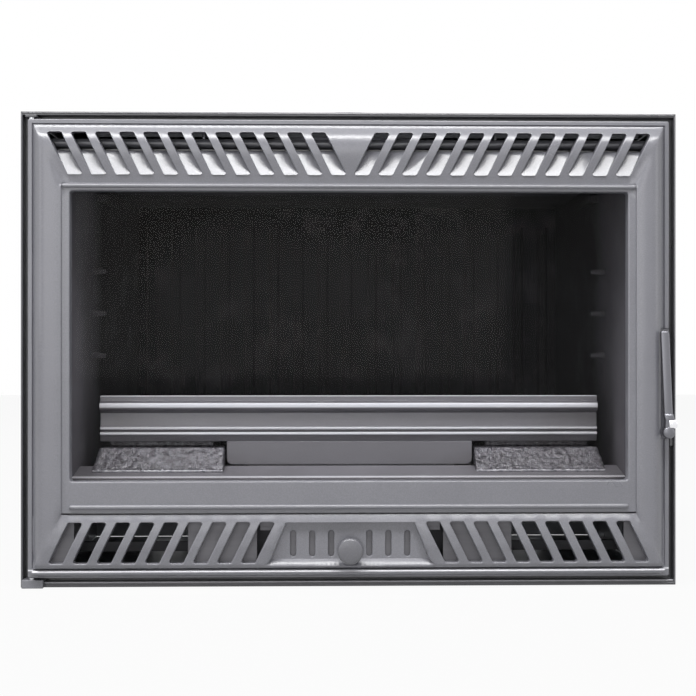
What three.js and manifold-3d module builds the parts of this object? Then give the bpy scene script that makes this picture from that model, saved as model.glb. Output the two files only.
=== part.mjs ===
// A built-in cast-iron fireplace insert: a front frame, a side-hung glazed door with slanted grilles,
// a firebox with its loose castings, and a sheet-steel convection casing behind them.
// Millimetres, +Z up, X to the right, +Y away from the room. The origin lies under the middle of the
// whole object. Depths below are counted from the flat rim of the closed door; negative is towards the room.
import * as THREE from 'three';
import { mergeVertices } from 'three/addons/utils/BufferGeometryUtils.js';
import Module from 'manifold-3d';

const wasm = await Module();
wasm.setup();

// ---- Driving dimensions ------------------------------------------------------------------------

const GAP = 0.4; // between pieces that touch
const CLEAR = 0.3; // round pins and shafts, and between thin pieces

const FRAME = { halfWidth: 350, height: 506, front: 20, back: 26, lipFront: 6 };
const LIP = { side: 2, top: 3.7, bottom: 5.5 };
const MAIN_WINDOW = { halfWidth: 305, low: 105, high: 432 };
const UPPER_WINDOW = { halfWidth: 326, low: 468.5, high: 498 };
const LOWER_WINDOW = { halfWidth: 322, low: 8.2, high: 80 };

const DOOR = { halfWidth: 343.5, low: 9.5, high: 498.5, slabBack: 6, skirtBack: 14, skirt: 5, hollowTop: 76.5 };
const BORDER = {
  outerHalf: 336.5, innerHalf: 304.5, top: 491.5, topInner: 431, bottomInner: 78.5, bottom: 18.6 };
const BAND_PROUD = 8; // the flat band round the window stands this far out of the rim
const OPENING = { halfWidth: 295.8, low: 113.5, high: 422.2, corner: 3 };
// Border sections, as [height or half-width, how far proud of the rim].
const TOP_SECTION = [[491.5, 0], [486, 4.6], [481, 8.6], [476, 10.8], [468, 12], [431, 9]];
const BOTTOM_SECTION = [[78.5, 6.5], [72, 10.4], [62, 12.2], [45, 13], [21.5, 11.2], [18.6, 8]];
const SIDE_SECTION = [[336.5, 0], [332.5, 6.5], [328, 10.4], [321, 12.3], [313, 12], [304.5, 8.5]];

const TOP_SLOTS = { count: 12, first: 23, pitch: 25.3, width: 15.6, low: 437.5, high: 483, lean: 23 };
const BOTTOM_SLOTS = { count: 9, first: 98.6, pitch: 25.27, width: 15.3, low: 23.7, high: 70.3, lean: -22.9 };
const RAMP = { lowY: -9.4, lowZ: 437.5, highY: 6, highZ: 465.5 }; // floor of each top slot
const BEADS = [
  { z: 427.3, proud: 8.2, radius: 2.3, half: 304.5 },
  { z: 86.3, proud: 8, radius: 2.6, half: 296.5 },
  { z: 15, proud: 0.6, radius: 2.2, half: 338 },
];

const PANEL = { topHalf: 68.3, top: 69.8, innerHalf: 84, inner: 30.1, outerHalf: 91, outer: 22.5, proud: 5 };
const AIR_SLOT = { count: 3, pitch: 20.2, width: 6.3, low: 33.2, high: 61.1 };
const KNOB = { z: 40.8, radius: 13.8, front: -24, back: -15, stem: 3, thread: 2, travel: 10 };
const SLIDER = { half: 82, low: 31, high: 64, front: GAP, back: 3.4 };
const GUIDE = { half: 96, clearance: 0.5, width: 11, lip: 4, back: 5.8 }; // the slider's two guides
const REGISTER = { inner: 99, outer: 325, low: 15.5, high: 76, thick: 2 };
const REGISTER_CUT = { inner: 172.3, outer: 292.5, low: 20, high: 72.5 };

const ROPE = { half: 318.5, low: 91, high: 446, radius: 5, corner: 14, floor: 9.4, ribBack: 13, rib: 2.5 };
const GLASS = { half: 303.5, low: 105.5, high: 430.5, front: 9, thick: 4 };
const CLIP = { x: 180, topZ: 434.2, bottomZ: 102.3, half: 10, thick: 2, reach: 10, heel: 4 };
const SCREW = { radius: 1.7, tip: 8, head: 1.6, headRadius: 3.4 };

const HINGE = { x: -338, y: 5, pin: 3, lowerTop: 34, upperFoot: 474 };
const HINGE_BOSS = { edge: -331, back: 12, lowerTop: 38, upperFoot: 470 }; // on the door, round the pins
const HINGE_BLOCK = { left: -347.6, right: -325, front: -2 };
const HINGE_ARM = { left: -344, right: -332 };

const NOTCH = { left: 331.6, low: 156.7, high: 276, floor: 2 }; // clears the door's edge behind the lever
const PIVOT = { x: 337.5, z: 165, shaft: 3.5, boss: 5.2, front: -18.5, back: 23, relief: 8.5 };
const LATCH_BOSS = { left: 325, low: 150, high: 182 };
const LEVER = { front: -17, back: -9, topX: 338, topZ: 272, lowX: 341.9, lowZ: 184, half: 4.7 };
const CAM = { thick: 3.2, nose: 9.2, half: 5, tip: 3 };
const WASHER = { radius: 6.4, thick: 1 };
const NUT = { radius: 6.2, thick: 2.6 };
const KEEPER = { left: 344.1, right: 347.6, tooth: 8.5, nose: 14, reach: 16, foot: 4 };

const FIREBOX = { front: 26.4, back: 350, frontHalf: 301, taper: 0.0867, wall: 8, floor: 104, top: 470 };
const SILL = { front: 28, frontZ: 113.8, crest: 62, crestZ: 124.2, back: 62.6 };
const GRATE = { half: 148, front: 122, back: 268, low: 99.4, rim: 10, bars: 11 };
const TOP_PLATE = { low: 470, high: 476, lipY: 17, lipZ: 473.8, lipRadius: 4.9, lipHalf: 322 };
const FLUE = { y: 215, bore: 72, wall: 6, flange: 98, top: 528 };
const BAFFLE = { half: 268, front: 120, back: 300, low: 433, high: 441 };
const PEG = { y: 115, heights: [245.9, 293.9, 341.9], base: 4.1, tip: 2.4, length: 15.5 };
const RIB = { count: 17, pitch: 32, proud: 5, half: 4, spread: 3, low: 116, high: 413 }; // on the rear wall
const RETAINER = { half: 276, low: 151, high: 201.5, face: 66, back: 78 };
const HOOK = { reach: 17, thick: 4, lap: 6 }; // behind the retainer, over its brackets
const BRACKET = { inner: 138, outer: 282, foot: 44, head: 62, headZ: 144.5, back: 96, upstand: 175.4 };
const POST = { inset: 14, front: 79, back: 90 };
const APRON = { half: 136, low: 125.4, high: 151, front: 64, back: 70, corner: 7 };
const ASH_BOX = { half: 165, wall: 4, back: 300, low: 2.4, floor: 8.3, high: 93.6 };
const ASH_PAN = { half: 150, front: 32, back: 290, low: 8.6, high: 68, wall: 2 };
const PULL = { half: 30, low: 44, high: 58, hole: 24, proud: 4 }; // on the ash pan's front
const CASING = { half: 336.5, sheet: 1.5, back: 398, top: 497, base: 2 };
const FLANGE = { left: -283, right: 318, front: 44, low: 485 }; // folded down from the casing's top
const GUSSET = { x: 158, thick: 3, low: 480, back: 43.6 };
const VENT = { count: 9, pitch: 60, half: 20, low: 28, high: 36 };
const RAIL = { low: 30.5, high: 41.4, front: 58, back: 64 };

// The object's middle in depth lies on the origin: the knob is the foremost piece, the casing the rearmost.
const RIM_Y = -(CASING.back + KNOB.front) / 2;

// ---- Finishes ----------------------------------------------------------------------------------

const finish = (color, roughness, metalness) => new THREE.MeshStandardMaterial({ color, roughness, metalness });
const PAINTED_IRON = finish('#8b8b92', 0.5, 0.35);
const SHADED_IRON = finish('#6c6b71', 0.55, 0.35);
const FIRED_IRON = finish('#2b292c', 0.8, 0.2);
const CASING_STEEL = finish('#7f8186', 0.45, 0.6);
const BRIGHT_STEEL = finish('#b4b5b8', 0.35, 0.9);
const CERAMIC_GLASS = finish('#3a3836', 0.08, 0);
const GLASS_ROPE = finish('#55524e', 0.95, 0);

// ---- Solids ------------------------------------------------------------------------------------

// A closed three.js geometry as a solid that can be joined and cut.
function solid(geometry) {
  geometry.deleteAttribute('normal');
  geometry.deleteAttribute('uv');
  const merged = mergeVertices(geometry, 1e-4);
  return new wasm.Manifold(new wasm.Mesh({
    numProp: 3,
    vertProperties: merged.attributes.position.array,
    triVerts: new Uint32Array(merged.index.array),
  }));
}

const join = (...parts) => parts.reduce((whole, part) => whole.add(part));
const cut = (whole, ...tools) => tools.reduce((rest, tool) => rest.subtract(tool), whole);

// A solid's surface as a geometry for a mesh.
function surface(made) {
  const mesh = made.getMesh();
  const points = new Float32Array(mesh.numVert * 3);
  for (let i = 0; i < mesh.numVert; i++) {
    points.set(mesh.vertProperties.subarray(i * mesh.numProp, i * mesh.numProp + 3), i * 3);
  }
  const geometry = new THREE.BufferGeometry();
  geometry.setAttribute('position', new THREE.BufferAttribute(points, 3));
  geometry.setIndex(new THREE.BufferAttribute(mesh.triVerts, 1));
  geometry.computeVertexNormals();
  return geometry;
}

function box(x0, x1, y0, y1, z0, z1) {
  const geometry = new THREE.BoxGeometry(x1 - x0, y1 - y0, z1 - z0);
  return solid(geometry.translate((x0 + x1) / 2, (y0 + y1) / 2, (z0 + z1) / 2));
}

const outline = (points) => new THREE.Shape(points.map(([a, b]) => new THREE.Vector2(a, b)));

function extrude(shape, depth, extra = {}) {
  return new THREE.ExtrudeGeometry(shape, { depth, bevelEnabled: false, curveSegments: 4, ...extra });
}

// A shape drawn in (y, z) and pushed along X.
const Y_Z_TO_X = new THREE.Matrix4().makeBasis(
  new THREE.Vector3(0, 1, 0), new THREE.Vector3(0, 0, 1), new THREE.Vector3(1, 0, 0));
const alongX = (shape, x0, x1) => solid(extrude(shape, x1 - x0).applyMatrix4(Y_Z_TO_X).translate(x0, 0, 0));
// A shape drawn in (x, z) and pushed along Y.
const alongY = (shape, y0, y1) => solid(extrude(shape, y1 - y0).rotateX(Math.PI / 2).translate(0, y1, 0));
// A shape drawn in (x, y) and pushed along Z.
const alongZ = (shape, z0, z1) => solid(extrude(shape, z1 - z0).translate(0, 0, z0));

// A round bar from one end to the other along one axis; the end can have another radius.
function rod(axis, from, length, radius, sides = 16, endRadius = radius) {
  const geometry = new THREE.CylinderGeometry(endRadius, radius, length, sides).translate(0, length / 2, 0);
  if (axis === 'x') geometry.rotateZ(-Math.PI / 2);
  if (axis === 'z') geometry.rotateX(Math.PI / 2);
  return solid(geometry.translate(...from));
}

// A polygon whose corners are rounded by short curves.
function rounded(points, radius) {
  const corners = points.map(([a, b]) => new THREE.Vector2(a, b));
  const shape = new THREE.Shape();
  corners.forEach((corner, i) => {
    const before = corners[(i + corners.length - 1) % corners.length];
    const after = corners[(i + 1) % corners.length];
    const enter = corner.clone().add(before.clone().sub(corner).setLength(radius));
    const leave = corner.clone().add(after.clone().sub(corner).setLength(radius));
    if (i === 0) shape.moveTo(enter.x, enter.y);
    else shape.lineTo(enter.x, enter.y);
    shape.quadraticCurveTo(corner.x, corner.y, leave.x, leave.y);
  });
  shape.closePath();
  return shape;
}

const rectangle = (a0, a1, b0, b1) => [[a0, b0], [a1, b0], [a1, b1], [a0, b1]];

// A flat ring between two rounded rectangles that are centred on X.
function ringShape(outer, inner) {
  const shape = rounded(rectangle(-outer.half, outer.half, outer.low, outer.high), outer.corner);
  shape.holes.push(rounded(rectangle(-inner.half, inner.half, inner.low, inner.high), inner.corner));
  return shape;
}

// Both mirror images of a solid that lies on the right.
const mirrored = (part) => part.mirror([1, 0, 0]);
const bothSides = (part) => part.add(mirrored(part));

const insert = new THREE.Group();
insert.position.y = RIM_Y;

function place(name, made, material) {
  const mesh = new THREE.Mesh(surface(made), material);
  mesh.name = name;
  insert.add(mesh);
}

// ---- Front frame -------------------------------------------------------------------------------

const windowCut = ({ halfWidth, low, high }, y0, y1) => box(-halfWidth, halfWidth, y0, y1, low, high);

function frontFrame() {
  const { halfWidth, height, front, back, lipFront } = FRAME;
  const plate = box(-halfWidth, halfWidth, front, back, 0, height);
  const lip = cut(
    box(-halfWidth, halfWidth, lipFront, front + 1, 0, height),
    box(-halfWidth + LIP.side, halfWidth - LIP.side, lipFront - 1, front + 2, LIP.bottom, height - LIP.top));
  const windows = [MAIN_WINDOW, UPPER_WINDOW, LOWER_WINDOW].map((w) => windowCut(w, front - 1, back + 1));
  const latchRelief = rod('y', [PIVOT.x, front - 1, PIVOT.z], back - front + 2, PIVOT.relief, 24);
  return cut(join(plate, lip), ...windows, latchRelief);
}

// ---- Door casting ------------------------------------------------------------------------------

// The leaning outline of one grille slot; a positive lean moves its top outwards.
function slotOutline(centre, { width, low, high, lean }) {
  const [w, foot, head] = [width / 2, centre - lean / 2, centre + lean / 2];
  return rounded([[foot - w, low], [foot + w, low], [head + w, high], [head - w, high]], 2);
}

function slotRow(slots, y0, y1) {
  const side = [];
  for (let i = 0; i < slots.count; i++) {
    side.push(alongY(slotOutline(slots.first + i * slots.pitch, slots), y0, y1));
  }
  return bothSides(join(...side));
}

// A length of border section along X, cut to its mitres.
function levelBorder(section, outerZ, innerZ) {
  const ends = [[1, section[0][0]], ...section.map(([z, proud]) => [-proud, z]), [1, section.at(-1)[0]]];
  const bar = alongX(outline(ends), -BORDER.outerHalf, BORDER.outerHalf);
  const { outerHalf, innerHalf } = BORDER;
  const mitre = [[-outerHalf, outerZ], [outerHalf, outerZ], [innerHalf, innerZ], [-innerHalf, innerZ]];
  return bar.intersect(alongY(outline(mitre), -20, 2));
}

function sideBorder() {
  const { outerHalf, innerHalf, top, topInner, bottomInner, bottom } = BORDER;
  const ends = [[outerHalf, 1], ...SIDE_SECTION.map(([x, proud]) => [x, -proud]), [innerHalf, 1]];
  const lap = 0.25; // it reaches this far over the mitre lines, into the level borders
  const bar = alongZ(outline(ends), bottom - lap, top + lap);
  const mitre = [
    [outerHalf, bottom - lap], [outerHalf, top + lap], [innerHalf, topInner + lap], [innerHalf, bottomInner - lap]];
  return bar.intersect(alongY(outline(mitre), -20, 2));
}

const bead = ({ z, proud, radius, half }) => rod('x', [-half, -proud, z], 2 * half, radius, 12);

// The space in front of the ramps: the top slots are cut no deeper than this.
function rampSpace() {
  const { lowY, lowZ, highY, highZ } = RAMP;
  const above = [[highY, highZ], [20, highZ], [20, BORDER.top], [-20, BORDER.top]];
  return alongX(outline([[-20, lowZ], [lowY, lowZ], ...above]), -BORDER.outerHalf, BORDER.outerHalf);
}

// The sunk trapezoid of the air panel, with its sloping lower edge.
function panelRecess() {
  const { topHalf, top, innerHalf, inner, outerHalf, outer, proud } = PANEL;
  const floorShape = outline([[-innerHalf, inner], [innerHalf, inner], [topHalf, top], [-topHalf, top]]);
  const mouthTop = inner + 1;
  const mouth = outline([[-outerHalf, outer], [outerHalf, outer], [innerHalf, mouthTop], [-innerHalf, mouthTop]]);
  const bevel = outline([[-proud, inner], [-11.3, outer], [-20, outer], [-20, inner + 2], [-proud, inner + 2]]);
  const slope = alongX(bevel, -outerHalf, outerHalf).intersect(alongY(mouth, -20, 0));
  return join(alongY(floorShape, -20, -proud), slope);
}

// Upright slots on both sides of the middle, the first at this distance from it.
function airSlots(count, first, y0, y1) {
  const cuts = [];
  for (let i = 0; i < count; i++) {
    const x = first + i * AIR_SLOT.pitch;
    const sides = rectangle(x - AIR_SLOT.width / 2, x + AIR_SLOT.width / 2, AIR_SLOT.low, AIR_SLOT.high);
    cuts.push(alongY(rounded(sides, AIR_SLOT.width / 2 - 0.1), y0, y1));
  }
  return bothSides(join(...cuts));
}

// The channel that holds the rope gasket: a low land with a rib along both edges.
function ropeChannel() {
  const grown = (by, corner) => ({ half: ROPE.half + by, low: ROPE.low - by, high: ROPE.high + by, corner });
  const wide = ROPE.radius + 0.6;
  const land = alongY(ringShape(grown(wide + ROPE.rib, 22), grown(-wide - ROPE.rib, 5)), 5, ROPE.ribBack);
  const groove = alongY(ringShape(grown(wide, 20), grown(-wide, 8)), ROPE.floor, ROPE.ribBack + 1);
  return cut(land, groove);
}

const clipPlaces = [
  ['top_left', -CLIP.x, CLIP.topZ], ['top_right', CLIP.x, CLIP.topZ],
  ['bottom_left', -CLIP.x, CLIP.bottomZ], ['bottom_right', CLIP.x, CLIP.bottomZ]];

// The shaped front of the door, hollow behind the lower border.
function doorFront() {
  const { halfWidth, low, high, slabBack, skirt, hollowTop } = DOOR;
  const slab = box(-halfWidth, halfWidth, 0, slabBack, low, high);
  const bandLow = BORDER.bottomInner + 1.6;
  const band = box(-BORDER.innerHalf, BORDER.innerHalf, -BAND_PROUD, 1, bandLow, BORDER.topInner);
  const borders = join(
    levelBorder(TOP_SECTION, BORDER.top, BORDER.topInner),
    levelBorder(BOTTOM_SECTION, BORDER.bottom, BORDER.bottomInner),
    bothSides(sideBorder()));
  const inside = halfWidth - skirt;
  const hollow = box(-inside, inside, 0, slabBack + 1, low + skirt, hollowTop);
  return cut(join(slab, ...BEADS.map(bead), borders, band), hollow);
}

// What stands behind the door's face: its skirt, the bosses and the rope channel.
function doorRear() {
  const { halfWidth, low, high, skirtBack, skirt } = DOOR;
  const skirtRing = cut(
    box(-halfWidth, halfWidth, 0, skirtBack, low, high),
    box(-halfWidth + skirt, halfWidth - skirt, -1, skirtBack + 1, low + skirt, high - skirt));
  const { edge, back, lowerTop, upperFoot } = HINGE_BOSS;
  const hingeBosses = join(
    box(-halfWidth, edge, 0, back, low, lowerTop), box(-halfWidth, edge, 0, back, upperFoot, high));
  const latchBoss = box(LATCH_BOSS.left, halfWidth, NOTCH.floor, skirtBack, LATCH_BOSS.low, LATCH_BOSS.high);
  const clipBosses = clipPlaces.map(([, x, z]) => rod('y', [x, 5, z], GLASS.front + GLASS.thick - 5, 3.2));
  return join(skirtRing, hingeBosses, latchBoss, ropeChannel(), ...clipBosses);
}

// The bores of the pins, the shaft and the clip screws.
function doorBores() {
  const pinRadius = HINGE.pin + CLEAR;
  const lowerPin = rod('z', [HINGE.x, HINGE.y, 0], HINGE_BOSS.lowerTop + 2, pinRadius);
  const upperPin = rod('z', [HINGE.x, HINGE.y, HINGE_BOSS.upperFoot - 2], 40, pinRadius);
  const shaft = rod('y', [PIVOT.x, -1, PIVOT.z], 20, PIVOT.shaft + CLEAR);
  return join(lowerPin, upperPin, shaft, ...clipPlaces.map(([, x, z]) => rod('y', [x, 7, z], 10, 2.1)));
}

function doorCasting() {
  const { halfWidth, low, high, corner } = OPENING;
  const opening = rounded(rectangle(-halfWidth, halfWidth, low, high), corner);
  const [slotHalf, stemHalf] = [KNOB.travel + 3.4, 3.4];
  const stemSlot = rounded(
    rectangle(-slotHalf, slotHalf, KNOB.z - stemHalf, KNOB.z + stemHalf), stemHalf - 0.1);
  return cut(join(doorFront(), doorRear()),
    alongY(opening, -20, 20),
    slotRow(TOP_SLOTS, -20, 20).intersect(rampSpace()),
    slotRow(BOTTOM_SLOTS, -20, 3),
    panelRecess(),
    airSlots(AIR_SLOT.count, AIR_SLOT.pitch, -20, 3),
    alongY(stemSlot, -20, 3),
    box(NOTCH.left, DOOR.halfWidth + 1, -20, NOTCH.floor, NOTCH.low, NOTCH.high),
    doorBores());
}

// ---- Glass, gaskets and clips -------------------------------------------------------------------

function ropeGasket() {
  const { half, low, high, radius, corner } = ROPE;
  const round = 3; // how much of the rope's edges is rounded
  const shape = ringShape(
    { half: half + radius, low: low - radius, high: high + radius, corner: corner + radius },
    { half: half - radius, low: low + radius, high: high - radius, corner: corner - radius });
  const geometry = extrude(shape, 2 * radius - 2 * round, {
    bevelEnabled: true, bevelThickness: round, bevelSize: round, bevelOffset: -round, bevelSegments: 2 });
  return solid(geometry.rotateX(Math.PI / 2).translate(0, FRAME.front - CLEAR - round, 0));
}

function glassGasket() {
  const outer = { half: GLASS.half - 0.6, low: GLASS.low + 0.6, high: GLASS.high - 0.6, corner: 2 };
  const inner = { half: OPENING.halfWidth + 0.8, low: OPENING.low - 0.8, high: OPENING.high + 0.8, corner: 2 };
  return alongY(ringShape(outer, inner), DOOR.slabBack + CLEAR, GLASS.front - CLEAR);
}

function glassPane() {
  const { half, low, high, front, thick } = GLASS;
  return alongY(rounded(rectangle(-half, half, low, high), 3), front, front + thick);
}

const CLIP_FRONT = GLASS.front + GLASS.thick + CLEAR;

// A strap that reaches from its screw over the edge of the glass.
function glassClip(x, z) {
  const inward = z > GLASS.high ? -1 : 1;
  const ends = [z + inward * CLIP.reach, z - inward * CLIP.heel];
  const strap = box(
    x - CLIP.half, x + CLIP.half, CLIP_FRONT, CLIP_FRONT + CLIP.thick, Math.min(...ends), Math.max(...ends));
  return cut(strap, rod('y', [x, CLIP_FRONT - 1, z], CLIP.thick + 2, SCREW.radius + 0.4));
}

function clipScrew(x, z) {
  const under = CLIP_FRONT + CLIP.thick + CLEAR;
  return join(
    rod('y', [x, SCREW.tip, z], under - SCREW.tip + 1, SCREW.radius),
    rod('y', [x, under, z], SCREW.head, SCREW.headRadius, 16, SCREW.headRadius - 0.8));
}

// ---- Air control -------------------------------------------------------------------------------

// A plate behind the lower grille, with one large window on to the convection chamber.
function registerPlate() {
  const { inner, outer, low, high, thick } = REGISTER;
  const hole = REGISTER_CUT;
  const window = box(hole.inner, hole.outer, -1, thick + 2, hole.low, hole.high);
  return cut(box(inner, outer, GAP, GAP + thick, low, high), window);
}

// An angle that the slider runs in: a spacer beside its edge and a lip behind it.
function sliderGuide(edge, outward) {
  const { half, clearance, width, lip, back } = GUIDE;
  const inside = SLIDER.back + GAP;
  const at = (across) => edge + outward * across;
  return alongX(outline([
    [SLIDER.front, at(clearance)], [SLIDER.front, at(width)], [back, at(width)],
    [back, at(-lip)], [inside, at(-lip)], [inside, at(clearance)]]), -half, half);
}

function airSlider() {
  const plate = box(-SLIDER.half, SLIDER.half, SLIDER.front, SLIDER.back, SLIDER.low, SLIDER.high);
  return cut(plate,
    airSlots(AIR_SLOT.count + 1, AIR_SLOT.pitch / 2, -1, 9),
    rod('y', [0, -1, KNOB.z], 9, KNOB.thread + CLEAR));
}

// The stem has a shoulder in front of the slider and threaded ends in the slider and the knob.
function knobStem() {
  const shoulder = KNOB.back + GAP;
  return join(
    rod('y', [0, shoulder, KNOB.z], -shoulder, KNOB.stem),
    rod('y', [0, KNOB.back - 4, KNOB.z], SLIDER.back + 5.5 - KNOB.back, KNOB.thread));
}

function airKnob() {
  const { radius, front, back, thread, z } = KNOB;
  const thick = back - front;
  const bore = [[thread + CLEAR, thick], [thread + CLEAR, thick - 5], [0, thick - 5]];
  const profile = [[0, 0], [radius - 2.6, 0], [radius - 0.9, 0.7], [radius, 2.4],
    [radius, thick - 1], [radius - 1, thick], ...bore];
  const turned = new THREE.LatheGeometry(profile.map(([r, h]) => new THREE.Vector2(r, h)), 36);
  return solid(turned.translate(0, front, z));
}

// ---- Handle and latch --------------------------------------------------------------------------

// A flat bar that hangs by a hooked elbow from its pivot.
function handleLever() {
  const { front, back, topX, topZ, lowX, lowZ, half } = LEVER;
  const shape = new THREE.Shape();
  shape.moveTo(topX - half, topZ - 3);
  shape.quadraticCurveTo(topX - half, topZ, topX - half + 3, topZ);
  shape.lineTo(topX + half - 3, topZ);
  shape.quadraticCurveTo(topX + half, topZ, topX + half, topZ - 3);
  shape.lineTo(lowX + half, lowZ);
  shape.lineTo(lowX + half + 2.6, lowZ - 7);
  shape.lineTo(lowX + half + 2.6, lowZ - 14);
  shape.quadraticCurveTo(lowX + half + 2, PIVOT.z - 7, PIVOT.x + 1, PIVOT.z - PIVOT.boss);
  shape.lineTo(PIVOT.x - 3.4, PIVOT.z - 3.6);
  shape.lineTo(PIVOT.x - 3.4, PIVOT.z + 3.6);
  shape.quadraticCurveTo(lowX - half + 1.6, PIVOT.z + 6, lowX - half + 0.6, lowZ - 6);
  shape.lineTo(lowX - half, lowZ);
  shape.closePath();
  const bar = alongY(shape, front, back);
  const boss = rod('y', [PIVOT.x, back - 2, PIVOT.z], -back + 1.2, PIVOT.boss, 20);
  return cut(join(bar, boss), shaftBore());
}

const shaftBore = () => rod('y', [PIVOT.x, PIVOT.front - 1, PIVOT.z], 60, PIVOT.shaft + CLEAR);
const latchShaft = () => rod('y', [PIVOT.x, PIVOT.front, PIVOT.z], PIVOT.back - PIVOT.front, PIVOT.shaft);

// Behind the door's edge the shaft carries the cam, a washer and a nut, one behind the other.
const CAM_FRONT = DOOR.skirtBack + GAP;
const WASHER_FRONT = CAM_FRONT + CAM.thick + CLEAR;
const NUT_FRONT = WASHER_FRONT + WASHER.thick + CLEAR;

// At rest the cam's nose points outwards, behind the keeper's tooth.
function latchCam() {
  const [x, z] = [PIVOT.x, PIVOT.z];
  const { half, nose, tip, thick } = CAM;
  const plate = rounded([[x - half, z - half], [x + 2, z - half], [x + nose, z - tip],
    [x + nose, z + tip], [x + 2, z + half], [x - half, z + half]], 1);
  return cut(alongY(plate, CAM_FRONT, CAM_FRONT + thick), shaftBore());
}

const latchWasher = () =>
  cut(rod('y', [PIVOT.x, WASHER_FRONT, PIVOT.z], WASHER.thick, WASHER.radius, 20), shaftBore());
const latchNut = () => cut(rod('y', [PIVOT.x, NUT_FRONT, PIVOT.z], NUT.thick, NUT.radius, 6), shaftBore());

// A strap on the frame with a tooth in front of the cam's nose and a foot above and below it.
function latchKeeper() {
  const { left, right, tooth, nose, reach, foot } = KEEPER;
  const [low, high, seat] = [PIVOT.z - reach, PIVOT.z + reach, FRAME.front - CLEAR];
  return alongX(outline([
    [tooth, low], [seat, low], [seat, low + foot], [nose, low + foot],
    [nose, high - foot], [seat, high - foot], [seat, high], [tooth, high]]), left, right);
}

// ---- Hinges ------------------------------------------------------------------------------------

const hingePin = (low, high) => rod('z', [HINGE.x, HINGE.y, low], high - low, HINGE.pin);
const hingeBore = () => rod('z', [HINGE.x, HINGE.y, -1], FRAME.height + 2, HINGE.pin + CLEAR);

// It stands in front of the frame's lower lip, with a heel over the lip that holds the pin.
function hingeBlock() {
  const { left, right, front } = HINGE_BLOCK;
  const top = DOOR.low - 0.7;
  const block = box(left, right, front, FRAME.lipFront - CLEAR, 0, top);
  const heel = box(left, right, front + 1, FRAME.front - CLEAR, LIP.bottom + CLEAR, top);
  return cut(join(block, heel), hingeBore());
}

function hingeBracket() {
  const [low, high] = [DOOR.high + 0.8, FRAME.height - LIP.top - CLEAR];
  return cut(box(HINGE_ARM.left, HINGE_ARM.right, 0, FRAME.front - CLEAR, low, high), hingeBore());
}

// ---- Firebox -----------------------------------------------------------------------------------

// The inner half-width of the firebox at a depth: the walls draw in towards the back.
const wallAt = (y) => FIREBOX.frontHalf - FIREBOX.taper * (y - FIREBOX.front);

// A plan shape that follows the tapering walls, this far outside their inner faces.
function plan(y0, y1, outside) {
  const [front, rear] = [wallAt(y0) + outside, wallAt(y1) + outside];
  return outline([[-front, y0], [front, y0], [rear, y1], [-rear, y1]]);
}

function fireboxFloor() {
  const low = FIREBOX.floor - 10;
  const slab = alongZ(plan(FIREBOX.front, FIREBOX.back + 8, FIREBOX.wall), low, FIREBOX.floor);
  const { front, frontZ, crest, crestZ, back } = SILL;
  const slope = outline([[front, low + 1], [front, frontZ], [front + 1.5, frontZ + 1], [crest, crestZ],
    [back, crestZ - 0.4], [back, low + 1]]);
  const sill = alongX(slope, -310, 310).intersect(alongZ(plan(FIREBOX.front, 90, -GAP), 0, 200));
  const { half } = GRATE;
  return cut(join(slab, sill),
    box(-half - 2, half + 2, GRATE.front - 2, GRATE.back + 2, GRATE.low - 0.4, 200),
    box(-half + 8, half - 8, GRATE.front + 8, GRATE.back - 8, 0, 200));
}

function sideWall() {
  const { front, back, wall, floor, top } = FIREBOX;
  const section = outline([[wallAt(front), front], [wallAt(front) + wall, front],
    [wallAt(back) + wall, back], [wallAt(back), back]]);
  const sheet = alongZ(section, floor + GAP, top - GAP);
  const root = wallAt(PEG.y) + 2;
  const pegs = PEG.heights.map((z) =>
    rod('x', [root - PEG.length - 2, PEG.y, z], PEG.length + 2, PEG.tip, 12, PEG.base));
  const face = wallAt(BAFFLE.front);
  const ledge = box(face - 12, face + 3, BAFFLE.front + 20, BAFFLE.back - 20, BAFFLE.low - 8, BAFFLE.low - GAP);
  return join(sheet, ...pegs, ledge);
}

function rearWall() {
  const { back, wall, floor, top } = FIREBOX;
  const { count, pitch, proud, half, spread, low, high } = RIB;
  const wide = wallAt(back) + wall;
  const plate = box(-wide, wide, back + GAP, back + wall, floor + GAP, top - GAP);
  const ribs = [];
  for (let i = 0; i < count; i++) {
    const x = (i - (count - 1) / 2) * pitch;
    const [root, crest] = [half + spread, back - proud];
    const section = outline([[x - root, back + 1], [x + root, back + 1], [x + half, crest], [x - half, crest]]);
    ribs.push(alongZ(section, low, high));
  }
  return join(plate, ...ribs);
}

function topPlate() {
  const { low, high, lipY, lipZ, lipRadius, lipHalf } = TOP_PLATE;
  const plate = alongZ(plan(FIREBOX.front, FIREBOX.back + 8, FIREBOX.wall), low, high);
  const tongue = box(-lipHalf, lipHalf, lipY, FIREBOX.front + 1, low, high);
  const lip = rod('x', [-lipHalf, lipY, lipZ], 2 * lipHalf, lipRadius, 16);
  return cut(join(plate, tongue, lip), rod('z', [0, FLUE.y, low - 1], 9, FLUE.bore, 32));
}

function flueCollar() {
  const { bore, wall, flange, top } = FLUE;
  const seat = TOP_PLATE.high + 0.3;
  const profile = [[bore, seat], [flange, seat], [flange, seat + 6], [bore + wall, seat + 6],
    [bore + wall, top - 3], [bore + wall + 2, top - 2], [bore + wall + 2, top], [bore, top], [bore, seat]];
  const turned = new THREE.LatheGeometry(profile.map(([r, z]) => new THREE.Vector2(r, z)), 40);
  const collar = solid(turned.rotateX(Math.PI / 2).translate(0, FLUE.y, 0));
  return cut(collar, ...collarBoltPlaces().map(([x, y]) => rod('z', [x, y, seat - 1], 9, 4.3, 12)));
}

function collarBoltPlaces() {
  const circle = FLUE.bore + FLUE.wall + 9.5;
  return [1, 3, 5, 7].map((eighth) => {
    const angle = eighth * Math.PI / 4;
    return [circle * Math.cos(angle), FLUE.y + circle * Math.sin(angle)];
  });
}

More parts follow.
